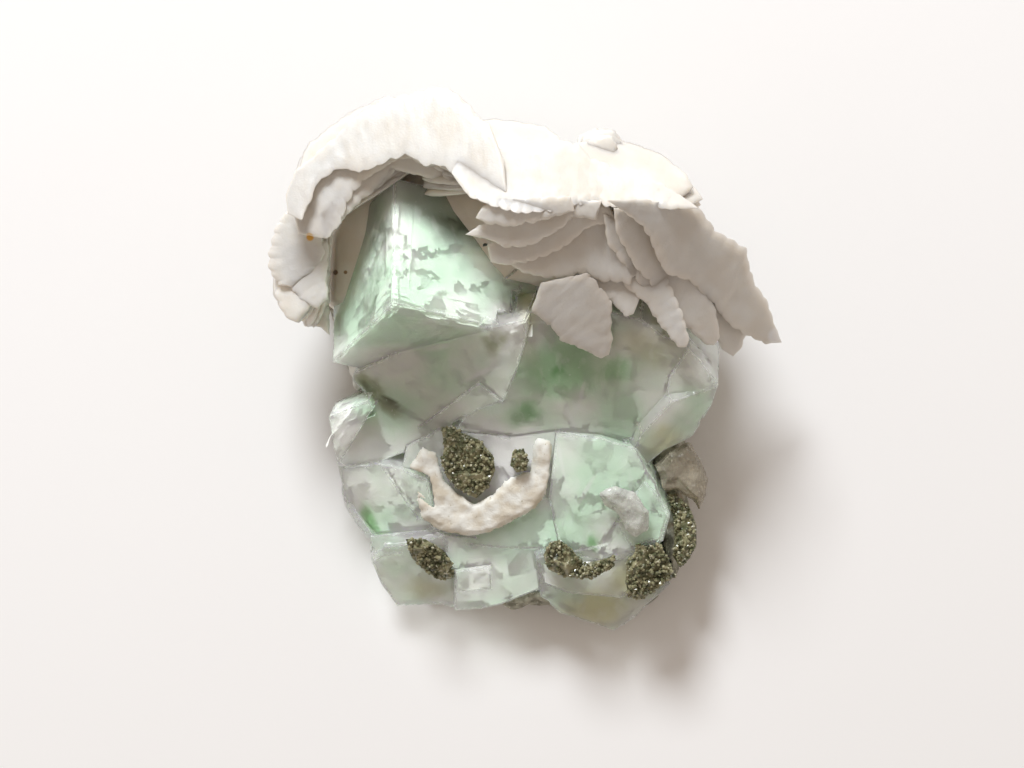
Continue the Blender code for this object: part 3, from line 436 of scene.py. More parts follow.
# Outline, height and slopes of the plane through it (z = h + a x + b y), and thickness.
calciteBlades = {
    "crown": ([
        (-32.5, 22.7), (-32.2, 20.0), (-30.1, 18.9), (-29.9, 20.1), (-28.8, 22.1), (-28.5, 23.7),
        (-27.1, 25.1), (-25.3, 25.9), (-22.1, 25.6), (-18.1, 27.0), (-15.8, 27.7), (-13.3, 26.0),
        (-11.5, 26.4), (-9.3, 25.1), (-6.6, 24.1), (-2.5, 22.7), (-2.9, 26.9), (-3.8, 29.5),
        (-4.8, 32.2), (-6.2, 33.0), (-7.5, 34.7), (-10.0, 36.9), (-11.6, 37.4), (-15.8, 36.3),
        (-19.2, 35.4), (-21.9, 34.4), (-24.0, 32.7), (-26.0, 30.3), (-27.4, 29.2), (-28.8, 27.8),
        (-31.1, 26.2)], (42.6, 0.27, -0.34), 1.8),
    "crownUnder": ([
        (-30.8, 17.3), (-26.9, 16.6), (-24.9, 19.0), (-23.9, 21.6), (-23.2, 23.2), (-21.4, 24.8),
        (-18.2, 26.9), (-17.8, 28.6), (-21.9, 30.0), (-27.4, 27.0), (-30.1, 23.8), (-31.4, 20.0)],
        (30.6, 0.15, -0.05), 1.6),
    "crownInner": ([
        (-27.3, 16.6), (-25.6, 18.4), (-21.4, 22.4), (-18.0, 26.0), (-13.0, 24.9), (-6.2, 23.4),
        (-2.3, 22.4), (-2.1, 23.8), (-8.9, 26.5), (-11.6, 28.4), (-15.5, 29.4), (-19.2, 28.9),
        (-24.0, 25.4), (-28.0, 20.0)], (22.8, -0.08, 0.02), 1.8),
    "leftLobe": ([
        (-35.2, 14.8), (-34.3, 17.7), (-32.6, 20.4), (-31.2, 21.0), (-29.5, 18.6), (-27.8, 16.9),
        (-27.2, 14.5), (-29.5, 11.8), (-31.8, 10.1), (-33.6, 10.4), (-35.0, 12.5)],
        (27.2, 0.25, 0.08), 1.8),
    "leftScallop": ([
        (-33.4, 13.6), (-33.2, 15.2), (-31.8, 16.4), (-30.1, 15.9), (-28.2, 16.6), (-26.9, 16.4),
        (-26.8, 8.6), (-28.4, 7.2), (-30.8, 8.4), (-32.4, 10.4)], (25.6, 0.20, 0.06), 1.8),
    "leftLower": ([
        (-31.8, 10.4), (-32.0, 8.4), (-31.2, 6.3), (-30.1, 4.8), (-28.1, 4.7), (-26.8, 3.6),
        (-26.7, 14.0), (-28.4, 14.7), (-30.8, 11.8)], (17.0, 0.12, 0.12), 2.4),
    "leftLowerUnder": ([
        (-31.2, 13.4), (-31.5, 8.4), (-30.6, 6.0), (-28.6, 5.2), (-26.8, 4.8), (-26.7, 15.0),
        (-29.4, 16.0)], (15.3, 0.08, 0.08), 2.6),
    "ridge": ([
        (-3.8, 28.9), (-9.0, 28.0), (-10.0, 25.4), (-7.5, 21.9), (-2.7, 20.3), (-0.7, 19.9),
        (4.8, 20.1), (6.9, 21.0), (9.6, 21.5), (11.0, 20.7), (15.8, 21.2), (19.2, 20.4),
        (23.4, 20.6), (18.5, 24.0), (13.0, 25.9), (8.9, 27.5), (7.1, 29.6), (4.8, 30.0),
        (-0.7, 29.3)], (50.0, -0.06, -0.75), 2.6),
    "tipUpper": ([
        (-6.7, 19.3), (-5.9, 20.7), (-3.4, 21.8), (6.2, 22.2), (6.6, 20.2), (2.1, 18.8),
        (-2.1, 18.2), (-5.1, 18.5)], (28.6, 0.10, 0.30), 1.5),
    "tipMiddle": ([
        (-8.1, 17.1), (-6.4, 18.2), (-3.4, 19.6), (4.8, 21.8), (10.3, 21.6), (9.6, 19.0),
        (6.4, 19.5), (4.1, 17.3), (0.7, 15.6), (-2.7, 15.2), (-4.9, 16.4)],
        (26.6, 0.10, 0.32), 1.5),
    "tipLower": ([
        (-5.2, 15.8), (-3.4, 16.8), (4.8, 20.0), (11.0, 21.4), (12.4, 19.0), (8.9, 18.2),
        (7.4, 17.1), (4.8, 15.2), (0.7, 13.4), (-2.7, 13.0), (-4.7, 13.4)],
        (24.4, 0.08, 0.36), 1.5),
    "awning": ([
        (-2.3, 13.3), (0.7, 15.4), (6.9, 19.4), (13.0, 20.6), (16.6, 17.0), (15.8, 13.6),
        (14.1, 10.4), (10.3, 10.7), (8.2, 11.8), (2.7, 11.1), (-0.4, 11.9)],
        (23.2, 0.06, 0.36), 1.4),
    "awningStrip": ([
        (6.2, 12.2), (8.9, 13.6), (14.6, 12.6), (16.0, 9.4), (14.7, 6.4), (13.6, 6.0),
        (11.6, 8.0), (8.6, 9.6)], (24.2, 0.0, 0.22), 1.2),
    "tongue": ([
        (2.1, 10.6), (8.6, 12.0), (11.7, 8.0), (11.9, 2.9), (11.4, 0.9), (10.4, 0.4),
        (4.8, 2.9), (3.8, 4.5), (0.7, 6.7)], (21.8, 0.05, 0.58), 1.2),
    "fanFront": ([
        (11.0, 21.6), (15.8, 21.8), (23.3, 20.9), (26.0, 17.7), (30.1, 15.5), (30.6, 13.2),
        (31.1, 11.1), (32.9, 8.6), (34.0, 5.6), (35.2, 2.6), (32.9, 2.3), (30.1, 3.6),
        (28.1, 4.9), (25.6, 7.7), (22.6, 10.8), (18.8, 11.9), (17.4, 15.2), (15.8, 18.2)],
        (35.0, -0.66, 0.50), 1.5),
    "fanSecond": ([
        (11.9, 20.6), (20.0, 20.6), (26.0, 16.0), (29.6, 9.0), (30.6, 4.6), (29.6, 1.8),
        (28.5, 0.7), (27.0, 1.5), (25.6, 3.6), (22.6, 4.9), (18.5, 8.4), (15.1, 12.5),
        (12.2, 17.3)], (33.2, -0.65, 0.48), 1.4),
    "fanThird": ([
        (10.5, 19.8), (18.0, 19.4), (23.0, 14.0), (26.0, 7.0), (26.6, 3.4), (25.8, 2.2),
        (24.7, 2.2), (22.6, 4.0), (20.1, 5.9), (17.1, 9.0), (14.4, 11.8), (11.0, 15.9)],
        (29.4, -0.40, 0.40), 1.4),
    "fanFourth": ([
        (9.6, 18.4), (15.0, 17.6), (18.8, 12.0), (21.6, 6.0), (22.4, 2.8), (21.8, 1.9),
        (20.8, 1.9), (18.8, 4.2), (16.4, 7.7), (14.1, 9.7), (10.3, 14.1)],
        (26.4, -0.14, 0.26), 1.4),
}

bladeGrowth = {
    "alongCount": 120,  # points from end to end
    "acrossCount": 16,
    "plates": 3,  # that a blade is made of
    "rimScallop": 0.34,
    "scallopWidth": 1.9,
    "rimRagged": 0.22,
    "serration": 0.10,
    "terrace": 0.14,
    "stagger": 0.55,  # how far each lower plate's rim is set back
    "seed": 41,
}


def planeHeight(plane, x, y):
    return plane[0] + plane[1] * x + plane[2] * y


def planeNormal(plane):
    normal = np.array([-plane[1], -plane[2], 1.0])
    return normal / np.linalg.norm(normal)


# Points at equal steps along a chain of corners, with the corners eased a little.
def walkChain(chain, count):
    chain = np.asarray(chain, float)
    reach = np.concatenate([[0.0], np.cumsum(np.linalg.norm(np.diff(chain, axis=0), axis=1))])
    at = np.linspace(0.0, reach[-1], count)
    line = np.stack([np.interp(at, reach, chain[:, axis]) for axis in (0, 1)], axis=1)
    line[1:-1] = 0.25 * line[:-2] + 0.5 * line[1:-1] + 0.25 * line[2:]
    return line


# The two sides of an outline, between the pair of corners that lie furthest apart.
def twoSides(outline, count):
    corners = np.asarray(outline, float)
    apart = np.linalg.norm(corners[:, None] - corners[None], axis=2)
    start, end = sorted(np.unravel_index(apart.argmax(), apart.shape))
    first = corners[start:end + 1]
    second = np.concatenate([corners[end:], corners[:start + 1]])[::-1]
    return walkChain(first, count), walkChain(second, count)


# One plate. Its sheet runs between the outline's two sides A(s) and B(s), as
# P(s, t) = A(s) + t (B(s) - A(s)), t eased by a cosine. Both sides are scalloped outwards by
# c |sin(pi s n)| and made ragged by a field. The faces stand off the plane by
# half * (1 - |2t - 1|^5) * (1 - |2s - 1|^8), and low terraces run along the plate.
def plateSurface(outline, plane, thickness, setBack, random, along, across):
    look = bladeGrowth
    sideA, sideB = twoSides(outline, along)
    s = np.linspace(0.0, 1.0, along)
    t = 0.5 - 0.5 * np.cos(np.linspace(0.0, math.pi, across))
    outward = sideB - sideA
    width = np.linalg.norm(outward, axis=1, keepdims=True)
    outward = outward / np.maximum(width, 0.2)
    length = np.sum(np.linalg.norm(np.diff(sideB, axis=0), axis=1))
    fade = np.sin(math.pi * s) ** 0.5
    for side, way in ((sideA, -1.0), (sideB, 1.0)):
        lobes = max(2.0, length / look["scallopWidth"] * random.uniform(0.8, 1.2))
        push = look["rimScallop"] * (np.abs(np.sin(math.pi * lobes * s + random.uniform(0, 3))) ** 0.7 - 0.75)
        wander = np.stack([s * length, np.zeros(along), np.full(along, random.uniform(0, 99))], axis=1)
        push = push + look["rimRagged"] * (fractalField(wander, 2.6, 7) - 0.2) - setBack
        push = push + look["serration"] * fractalField(wander, 0.5, 13, 2)
        push = np.minimum(push, 0.15)
        side += way * outward * (push * fade)[:, None] * np.minimum(width / 2.0, 1.0)
    flat = sideA[:, None] + t[None, :, None] * (sideB - sideA)[:, None]
    lens = (1 - np.abs(2 * t - 1) ** 5)[None] * (1 - np.abs(2 * s - 1) ** 8)[:, None]
    ground = np.stack([flat[..., 0].ravel(), flat[..., 1].ravel(), np.full(along * across, setBack)], axis=1)
    steps = 4.5 * t[None] + 0.8 * fractalField(ground, 5.0, 3).reshape(along, across)
    stair = np.floor(steps) + np.clip((steps - np.floor(steps)) * 3.0 - 1.0, 0.0, 1.0)
    stair = look["terrace"] * (0.25 * stair - 0.5) * lens
    ripples = 0.05 * cloudField(ground * (1, 1, 0) + (0, 0, setBack), 0.7, 11).reshape(along, across) * lens
    normal = planeNormal(plane)
    middle = np.concatenate([flat, planeHeight(plane, flat[..., 0], flat[..., 1])[..., None]], axis=2)
    top = middle + (0.5 * thickness * lens + stair + ripples)[..., None] * normal
    under = middle - (0.5 * thickness * lens - 0.5 * stair)[..., None] * normal
    near = np.clip(1.0 - 6.0 * np.minimum(np.minimum(t, 1 - t)[None], np.minimum(s, 1 - s)[:, None]), 0.0, 1.0)
    return closedSheet(top, under, near)


# Two grids that share their rim, as one closed skin: the rim of the lower one is the upper's.
def closedSheet(top, under, near):
    rows, columns = top.shape[:2]
    count = rows * columns
    upper = np.arange(count).reshape(rows, columns)
    lower = upper.copy()
    lower[1:-1, 1:-1] = count + np.arange((rows - 2) * (columns - 2)).reshape(rows - 2, columns - 2)
    points = np.concatenate([top.reshape(-1, 3), under[1:-1, 1:-1].reshape(-1, 3)])
    upFaces = np.stack([upper[:-1, :-1], upper[1:, :-1], upper[1:, 1:], upper[:-1, 1:]], -1).reshape(-1, 4)
    downFaces = np.stack([lower[:-1, :-1], lower[:-1, 1:], lower[1:, 1:], lower[1:, :-1]], -1).reshape(-1, 4)
    nearness = np.concatenate([near.ravel(), near[1:-1, 1:-1].ravel()])
    return points, np.concatenate([upFaces, downFaces]), nearness


# A blade is a few plates one under another, each lower one set back from the rim.
def bladeBundle(outline, plane, thickness, random, plates, along, across, place=None):
    parts = []
    each = thickness / plates
    for layer in range(plates):
        drop = ((plates - 1) / 2 - layer) * each
        tilt = random.uniform(-0.015, 0.015, 2)
        centre = np.mean(np.asarray(outline, float), axis=0)
        lowered = (
            plane[0] + drop / planeNormal(plane)[2] - tilt[0] * centre[0] - tilt[1] * centre[1],
            plane[1] + tilt[0], plane[2] + tilt[1])
        setBack = 0.0 if layer == 0 else bladeGrowth["stagger"] * random.uniform(0.1, 1.0)
        points, faces, near = plateSurface(outline, lowered, each * 1.25, setBack, random, along, across)
        if place is not None:
            points = points @ np.array(place.to_3x3()).T + np.array(place.translation)
        parts.append((points, faces, near))
    return parts


# Fans that hang at the back: hinge, heading in degrees, width, reach and the fall of each page.
backFans = [
    ((-26.9, 12.6, 20.5), 176, 16.0, 6.4, (20, 38, 56, 74)),
    ((-18.9, 24.0, 25.0), 124, 23.0, 9.7, (20, 35, 50, 65, 80)),
    ((-3.5, 24.0, 29.0), 97, 21.0, 10.0, (44, 56, 68, 80)),
    ((12.8, 21.0, 31.0), 74, 21.0, 10.8, (48, 60, 72, 83)),
    ((18.6, 15.5, 24.5), 14, 15.0, 10.2, (58, 71, 83)),
]
pageGrowth = {"longer": 0.14, "thickness": 1.9, "lobes": 5, "scallop": 0.10, "middle": 0.60, "half": 0.62, "seed": 20}


# An ellipse whose radius dips by depth * |sin(lobes * angle / 2 + phase)|, turned about its centre.
def lobedOutline(centre, radii, turn, lobes, depth, phase, count=15):
    angle = np.linspace(0.0, 2 * math.pi, count, endpoint=False)
    reach = 1.0 - depth * np.abs(np.sin(0.5 * lobes * angle + phase))
    x = radii[0] * reach * np.cos(angle)
    y = radii[1] * reach * np.sin(angle)
    c, s = math.cos(turn), math.sin(turn)
    return np.stack([centre[0] + c * x - s * y, centre[1] + s * x + c * y], axis=1)


# Each page's outline and its place, drawn in the same order as the solid's own pages.
def fanPages():
    random = np.random.default_rng(pageGrowth["seed"])
    for hinge, heading, width, reach, falls in backFans:
        for page, fall in enumerate(falls):
            long = reach * (1.0 + pageGrowth["longer"] * page) * random.uniform(0.93, 1.05)
            wide = width * random.uniform(0.86, 1.04)
            rim = lobedOutline(
                (random.uniform(-1.0, 1.0), pageGrowth["middle"] * long),
                (0.5 * wide, pageGrowth["half"] * long),
                random.uniform(-0.1, 0.1), pageGrowth["lobes"], pageGrowth["scallop"], random.uniform(0, math.pi))
            turn = Matrix.Rotation(math.radians(heading + random.uniform(-7, 7) - 90), 4, "Z")
            drop = Matrix.Rotation(-math.radians(fall + random.uniform(-3, 3)), 4, "X")
            yield rim, Matrix.Translation(hinge) @ turn @ drop


rootRim = [
    (-27.5, 8.0), (-24.0, 5.0), (-16.0, 8.0), (-2.0, 10.0), (8.0, 9.5), (16.0, 8.5), (20.0, 11.0),
    (19.6, 17.0), (14.0, 21.6), (4.0, 24.4), (-6.0, 26.4), (-15.0, 27.6), (-23.0, 24.4), (-27.6, 18.0)]


# The root under the blades: its outline carried up in rings that draw in, roughened by a field.
def rootSurface():
    rim = walkChain(rootRim + rootRim[:1], 120)[:-1]
    centre = rim.mean(axis=0)
    rings = []
    for height, share in ((7.7, 0.02), (7.7, 0.97), (10.0, 1.0), (14.0, 1.0), (17.5, 0.99), (20.5, 0.92), (22.0, 0.75), (22.4, 0.4), (22.4, 0.02)):
        flat = centre + (rim - centre) * share
        lift = height + (0.22 * flat[:, 0] if height > 12 else 0.0)
        rings.append(np.concatenate([flat, np.broadcast_to(lift, (len(rim),))[:, None]], axis=1))
    points = np.concatenate(rings)
    rough = fractalField(points, 5.0, 5)[:, None] * np.array([0.35, 0.35, 0.35])
    points = points + rough * (points[:, 2:] > 8.5)
    faces = gridFaces(len(rings), len(rim), ring=True)
    return points, faces


# Cuts the crystals' room out of a piece that has grown round them.
def seatOnCrystals(piece, crystals):
    cut = piece.modifiers.new("seat", "BOOLEAN")
    cut.operation = "DIFFERENCE"
    cut.solver = "EXACT"
    cut.object = crystals
    graph = bpy.context.evaluated_depsgraph_get()
    mesh = bpy.data.meshes.new_from_object(piece.evaluated_get(graph))
    piece.modifiers.clear()
    piece.data = mesh


def buildCalcite(finish, crystals):
    look = bladeGrowth
    random = np.random.default_rng(look["seed"])
    parts = []
    for outline, plane, thickness in calciteBlades.values():
        parts += bladeBundle(outline, plane, thickness, random, look["plates"], look["alongCount"], look["acrossCount"])
    points, faces, near = joined(parts)
    front = makePiece("calciteBlades", points, faces, finish, near=near)
    parts = []
    for rim, place in fanPages():
        parts += bladeBundle(rim, (0.0, 0.0, 0.0), pageGrowth["thickness"], random, 2, 44, 8, place)
    for level, (radius, height) in enumerate(((3.9, 19.6), (3.5, 21.4), (2.7, 23.0))):
        rim = lobedOutline((10.4, 28.4), (radius, radius), 0.3 * level, 5, 0.12, level)
        parts += bladeBundle(rim, (height + 0.12 * 28.4, 0.0, -0.12), 2.4, random, 3, 36, 8)
    points, faces, near = joined(parts)
    points[:, 2] = np.maximum(points[:, 2], 7.7)
    back = makePiece("calciteBackFans", points, faces, finish, near=near)
    points, faces = rootSurface()
    root = makePiece("calciteRoot", points, faces, finish)
    seatOnCrystals(root, crystals)
    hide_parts("calcite_blades")
    return front, back, root


# Druse.

# Outline, plane and rise of each patch.
drusePatches = {
    "druse_centre": ([
        (-11.5, -9.0), (-10.0, -8.8), (-8.4, -9.9), (-6.2, -10.8), (-4.4, -12.9), (-4.1, -14.9),
        (-5.1, -17.3), (-6.7, -18.8), (-8.8, -17.7), (-10.7, -16.0), (-11.5, -13.8), (-11.1, -11.8)],
        (17.2, 0.10, 0.215), 1.5),
    "druse_small": ([
        (-1.7, -12.3), (-0.2, -12.0), (0.4, -13.4), (0.2, -15.0), (-1.2, -15.2), (-2.0, -13.9)],
        (18.6, 0.10, 0.215), 0.9),
    "druse_front_left": ([
        (-16.4, -24.4), (-13.7, -24.4), (-11.2, -26.0), (-9.6, -28.2), (-9.9, -30.0),
        (-12.0, -30.0), (-14.0, -28.6), (-15.6, -27.0)], (27.1, 0.0, 0.63), 1.3),
    "druse_curled": ([
        (2.5, -26.6), (3.4, -24.8), (4.8, -24.5), (6.4, -25.7), (7.8, -27.6), (10.3, -27.3),
        (12.3, -26.6), (12.0, -28.4), (8.9, -29.8), (5.5, -29.6), (3.2, -28.6)],
        (21.4, -0.03, 0.33), 1.4),
    "druse_front_right": ([
        (14.0, -27.4), (15.6, -25.0), (18.5, -25.0), (19.8, -27.4), (20.6, -29.4), (18.0, -31.3),
        (16.0, -32.8), (14.2, -32.4), (13.8, -30.0)], (21.3, -0.03, 0.33), 1.6),
    "druse_right_edge": ([
        (18.5, -18.6), (20.6, -18.3), (22.5, -19.8), (23.6, -22.5), (23.6, -25.2), (22.6, -27.2),
        (21.4, -28.4), (20.4, -26.9), (20.6, -24.0), (20.4, -21.0)], (10.2, -0.05, 0.0), 1.6),
}
druseGrowth = {"perSquare": 9.0, "small": 0.22, "large": 0.62, "seed": 5}


# Which points lie inside an outline: a ray to the right crosses its sides an odd number of times.
def insideOutline(outline, points):
    corners = np.asarray(outline, float)
    after = np.roll(corners, -1, axis=0)
    x, y = points[:, :1], points[:, 1:2]
    rises = (corners[:, 1] > y) != (after[:, 1] > y)
    slope = (after[:, 0] - corners[:, 0]) / np.where(after[:, 1] == corners[:, 1], 1.0, after[:, 1] - corners[:, 1])
    crossed = rises & (x < corners[:, 0] + (y - corners[:, 1]) * slope)
    return crossed.sum(axis=1) % 2 == 1


# Random turns as matrices, from unit quaternions.
def randomTurns(count, random):
    q = random.normal(size=(count, 4))
    w, x, y, z = (q / np.linalg.norm(q, axis=1, keepdims=True)).T
    return np.stack([
        1 - 2 * (y * y + z * z), 2 * (x * y - z * w), 2 * (x * z + y * w),
        2 * (x * y + z * w), 1 - 2 * (x * x + z * z), 2 * (y * z - x * w),
        2 * (x * z - y * w), 2 * (y * z + x * w), 1 - 2 * (x * x + y * y)], axis=1).reshape(-1, 3, 3)


# A small six-sided crystal: a ring at each end of a short prism and a point over each.
def crystalShape():
    angle = np.arange(6) * math.pi / 3
    ring = np.stack([np.cos(angle), np.sin(angle)], axis=1)
    points = np.concatenate([
        np.c_[ring, np.full(6, -0.5)], np.c_[ring, np.full(6, 0.5)], [[0, 0, -1.3], [0, 0, 1.3]]])
    after = (np.arange(6) + 1) % 6
    sides = np.concatenate([
        np.c_[np.arange(6), after, after + 6], np.c_[np.arange(6), after + 6, np.arange(6) + 6]])
    caps = np.concatenate([np.c_[after, np.arange(6), np.full(6, 12)], np.c_[np.arange(6) + 6, after + 6, np.full(6, 13)]])
    return points, np.concatenate([sides, caps])


# Many small crystals: each is the base shape times its size, turned, and moved to its place.
def crystalSwarm(places, sizes, random):
    base, faces = crystalShape()
    turned = np.einsum("nij,vj->nvi", randomTurns(len(places), random), base * (0.5, 0.5, 0.5))
    points = (turned * sizes[:, None, None] + places[:, None]).reshape(-1, 3)
    shifted = faces[None] + (np.arange(len(places)) * len(base))[:, None, None]
    return points, shifted.reshape(-1, 3)


def buildDruse(finish):
    random = np.random.default_rng(druseGrowth["seed"])
    pieces = []
    for name, (outline, plane, rise) in drusePatches.items():
        corners = np.asarray(outline)
        low, high = corners.min(axis=0), corners.max(axis=0)
        count = int(druseGrowth["perSquare"] * np.prod(high - low))
        flat = random.uniform(low, high, (count, 2))
        flat = flat[insideOutline(outline, flat)]
        edge = np.min(np.linalg.norm(flat[:, None] - corners[None], axis=2), axis=1)
        height = planeHeight(plane, flat[:, 0], flat[:, 1]) + rise * random.uniform(0.25, 0.85, len(flat)) * np.clip(edge, 0.2, 1.0)
        places = np.c_[flat, height]
        sizes = random.uniform(druseGrowth["small"], druseGrowth["large"], len(flat)) ** 1.0
        points, faces = crystalSwarm(places, sizes, random)
        pieces.append(makePiece(name + "Crystals", points, faces, finish, smooth=False))
        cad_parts[name].data.materials[0] = finish
    return pieces


# Lumps made from the solids: remeshed finely and roughened by a field along the normals.

def roughLump(nodeName, pieceName, voxel, size, depth, finish, seed, smooth=True, keepFloor=False):
    bm = mergedCopy(nodeName)
    piece = pieceFromBmesh(pieceName, bm, finish, smooth)
    remesh = piece.modifiers.new("remesh", "REMESH")
    remesh.mode = "VOXEL"
    remesh.voxel_size = voxel * mm
    graph = bpy.context.evaluated_depsgraph_get()
    mesh = bpy.data.meshes.new_from_object(piece.evaluated_get(graph))
    piece.modifiers.clear()
    count = len(mesh.vertices)
    points = np.zeros(count * 3)
    normals = np.zeros(count * 3)
    mesh.vertices.foreach_get("co", points)
    mesh.vertex_normals.foreach_get("vector", normals)
    points, normals = points.reshape(-1, 3) / mm, normals.reshape(-1, 3)
    push = depth * fractalField(points, size, seed, 4)
    if keepFloor:
        push = np.where(points[:, 2] < 0.4, 0.0, push)
    points = points + normals * push[:, None]
    if keepFloor:
        points[:, 2] = np.maximum(points[:, 2], 0.0)
    mesh.vertices.foreach_set("co", (points * mm).ravel())
    mesh.polygons.foreach_set("use_smooth", np.full(len(mesh.polygons), smooth))
    mesh.materials.clear()
    mesh.materials.append(finish)
    piece.data = mesh
    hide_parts(nodeName)
    return piece


# Fluorite.

fluoriteSkin = {
    "weld": 0.12,
    "flat": 1.5,
    "cell": 0.8,  # longest side of a small face
    "edgeAngle": 14.0,
    "reach": 1.1,  # how far from an edge it counts as near
    "rounding": 0.10,
    "chip": 0.55,
    "chipSize": 1.5,
    "seed": 77,
}

# Cloudy sheets inside the crystals, each under a flat face: depth, share kept and waviness.
fluoriteVeils = {
    "layers": [(0.7, 0.40, 0.2), (1.6, 0.65, 0.35), (2.8, 1.0, 0.45)],
    "drawIn": 0.35,  # share of the depth by which a veil is drawn in from the face's edges
    "smallestFace": 14.0,  # square millimetres
    "patchSize": 3.4,
    "seed": 31,
}


# How near each point is to the closest of some segments: 1 on it, 0 from `reach` away. The
# closest point on a segment is at h = clamp((p - a).(b - a) / |b - a|^2, 0, 1).
def edgeNearness(points, starts, ends, reach):
    along = ends - starts
    square = np.maximum(np.sum(along ** 2, axis=1), 1e-9)
    nearest = np.full(len(points), reach)
    for first in range(0, len(points), 4000):
        block = points[first:first + 4000, None] - starts[None]
        share = np.clip(np.sum(block * along, axis=2) / square, 0.0, 1.0)
        away = np.linalg.norm(block - share[..., None] * along, axis=2).min(axis=1)
        nearest[first:first + 4000] = np.minimum(away, reach)
    return 1 - nearest / reach


# Each veil is the small faces of one flat face of area A with normal n and middle m, kept
# where a field is high, and moved to m + (p - m) (1 - k depth / sqrt(A)) - n (depth + wave).
def buildVeils(mesh, points, flats):
    look = fluoriteVeils
    owner = np.zeros(len(mesh.polygons), np.int32)
    mesh.attributes["flatFace"].data.foreach_get("value", owner)
    corners = np.zeros(len(mesh.polygons) * 3, np.int32)
    mesh.polygons.foreach_get("vertices", corners)
    corners = corners.reshape(-1, 3)
    parts = []
    for number, (normal, middle, area) in enumerate(flats):
        if area < look["smallestFace"] or normal[2] < -0.15:
            continue
        mine = corners[owner == number]
        for layer, (depth, kept, wave) in enumerate(look["layers"]):
            seed = look["seed"] + 7 * layer
            high = fractalField(points[mine].mean(axis=1), look["patchSize"], seed, 3)
            chosen = mine[high > np.quantile(high, 1 - kept)]
            used, faces = np.unique(chosen, return_inverse=True)
            place = points[used]
            wavy = depth + wave * fractalField(place, 3.0, seed + 3, 2)
            inner = middle + (place - middle) * (1 - look["drawIn"] * depth / math.sqrt(area)) - normal * wavy[:, None]
            parts.append((inner, faces.reshape(-1, 3), 0.0))
    inside, faces, _ = joined(parts)
    inside[:, 2] = np.maximum(inside[:, 2], 3.2)
    piece = makePiece("fluoriteVeils", inside, faces, veilFinish())
    giveColours(piece.data, inside)


# The crystals' faces cut into small ones, with worn and chipped edges.
def buildFluorite(finish):
    look = fluoriteSkin
    bm = mergedCopy("fluorite_cluster", look["weld"], look["flat"])
    bm.normal_update()
    sharp = [edge for edge in bm.edges if edge.is_convex and edge.calc_face_angle(0.0) > math.radians(look["edgeAngle"])]
    starts = np.array([edge.verts[0].co for edge in sharp]) / mm
    ends = np.array([edge.verts[1].co for edge in sharp]) / mm
    flats = [(np.array(face.normal), np.array(face.calc_center_median()) / mm, face.calc_area() / mm ** 2) for face in bm.faces]
    mark = bm.faces.layers.int.new("flatFace")
    for count, face in enumerate(bm.faces):
        face[mark] = count
    bmesh.ops.triangulate(bm, faces=bm.faces[:])
    for _ in range(9):
        long = [edge for edge in bm.edges if edge.calc_length() > look["cell"] * mm]
        if not long:
            break
        bmesh.ops.subdivide_edges(bm, edges=long, cuts=1)
        bmesh.ops.triangulate(bm, faces=bm.faces[:])
    piece = pieceFromBmesh("fluoriteCrystals", bm, finish, smooth=True)
    piece.visible_shadow = False  # light reaches what lies inside
    mesh = piece.data
    count = len(mesh.vertices)
    points, normals = np.zeros(count * 3), np.zeros(count * 3)
    mesh.vertices.foreach_get("co", points)
    mesh.vertex_normals.foreach_get("vector", normals)
    points, normals = points.reshape(-1, 3) / mm, normals.reshape(-1, 3)
    buildVeils(mesh, points, flats)
    near = edgeNearness(points, starts, ends, look["reach"])
    chips = np.maximum(fractalField(points, look["chipSize"], look["seed"], 3) - 0.45, 0.0)
    depth = look["rounding"] * near ** 3 + look["chip"] * near ** 1.5 * chips
    points = points - normals * depth[:, None]
    mesh.vertices.foreach_set("co", (points * mm).ravel())
    worn = mesh.attributes.new("edgeNear", "FLOAT", "POINT")
    worn.data.foreach_set("value", near)
    giveColours(mesh, points)
    mesh.set_sharp_from_angle(angle=math.radians(18.0))
    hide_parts("fluorite_cluster")
    return piece


# Studio.

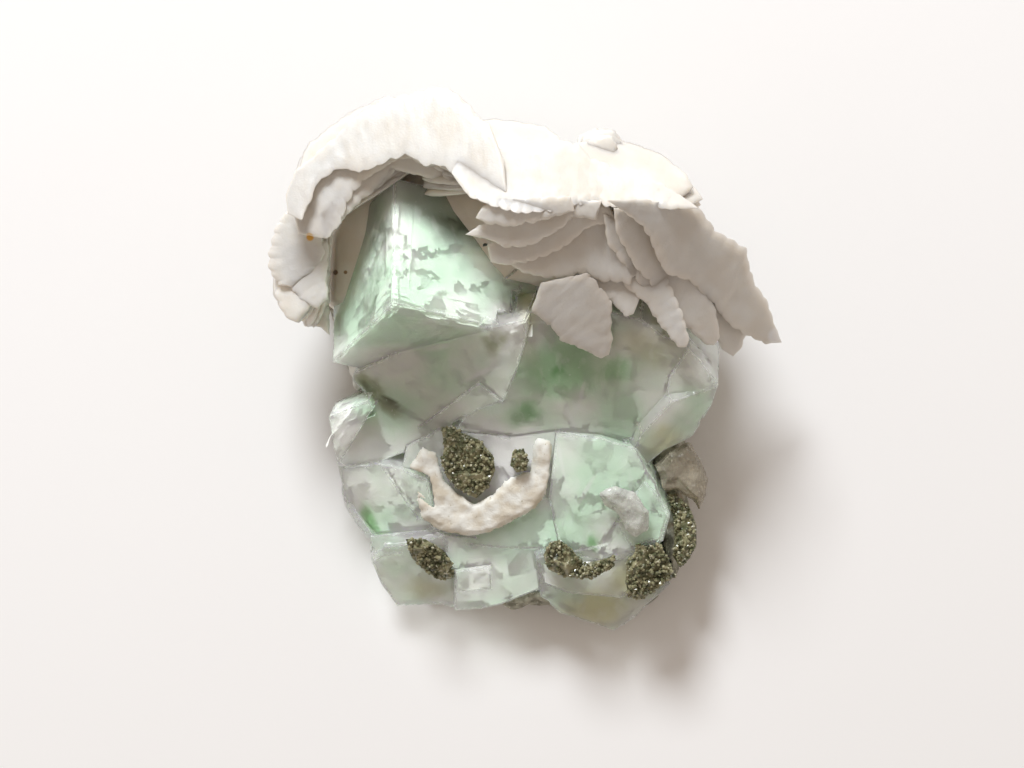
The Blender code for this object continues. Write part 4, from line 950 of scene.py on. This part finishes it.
def buildStudio():
    look = studio
    half = look["paperReach"]
    points = np.array([(-half, -half, -0.05), (half, -half, -0.05), (half, half, -0.05), (-half, half, -0.05)])
    mesh = bpy.data.meshes.new("paper")
    mesh.from_pydata((points * mm).tolist(), [], [[0, 1, 2, 3]])
    mesh.materials.append(paperFinish())
    paper = bpy.data.objects.new("paper", mesh)
    bpy.context.scene.collection.objects.link(paper)

    target = Vector(look["lookAt"]) * mm
    camera = bpy.data.objects.new("camera", bpy.data.cameras.new("camera"))
    camera.data.sensor_width = 36.0
    camera.data.lens = 36.0 * look["cameraHeight"] / look["seenWidth"]
    camera.data.clip_start = 0.01
    camera.data.clip_end = 20.0
    camera.location = target + Vector((0, 0, look["cameraHeight"] * mm))
    bpy.context.scene.collection.objects.link(camera)
    bpy.context.scene.camera = camera

    light = bpy.data.lights.new("windowLight", "AREA")
    light.shape = "DISK"
    light.size = look["keySize"] * mm
    light.energy = look["keyPower"]
    light.color = look["keyColour"]
    lamp = bpy.data.objects.new("windowLight", light)
    way = Vector(look["keyFrom"]).normalized()
    lamp.location = target + way * look["keyDistance"] * mm
    lamp.rotation_euler = way.to_track_quat("Z", "Y").to_euler()
    bpy.context.scene.collection.objects.link(lamp)

    world = bpy.data.worlds.new("softRoom")
    world.use_nodes = True
    ground = world.node_tree.nodes["Background"]
    ground.inputs["Color"].default_value = rgb(*look["skyColour"])
    ground.inputs["Strength"].default_value = look["skyStrength"]
    bpy.context.scene.world = world
    bpy.context.scene.view_settings.view_transform = "Standard"


buildStudio()
print("stage: studio")

crystals = buildFluorite(fluoriteFinish())
print("stage: fluorite")

buildCalcite(calciteFinish(), crystals)
print("stage: calcite")

buildDruse(druseFinish())
print("stage: druse")

roughLump("chalky_crust", "chalkyCrust", 0.28, 1.3, 0.16, crustFinish(), 3)
roughLump("matrix", "granularMatrix", 0.55, 2.2, 0.35, rockFinish(), 9, keepFloor=True)
smoky = clearFinish("smokyQuartz", (0.66, 0.60, 0.48), (0.60, 0.52, 0.38), 60.0, 0.5)
roughLump("smoky_lump", "smokyLump", 0.25, 1.6, 0.20, smoky, 12, smooth=False)
clear = clearFinish("clearCrystal", (0.95, 0.95, 0.91), (0.95, 0.94, 0.90), 12.0, 0.5)
roughLump("clear_crystal", "clearCrystal", 0.22, 1.4, 0.14, clear, 14, smooth=False)
print("stage: crust, matrix and small crystals")
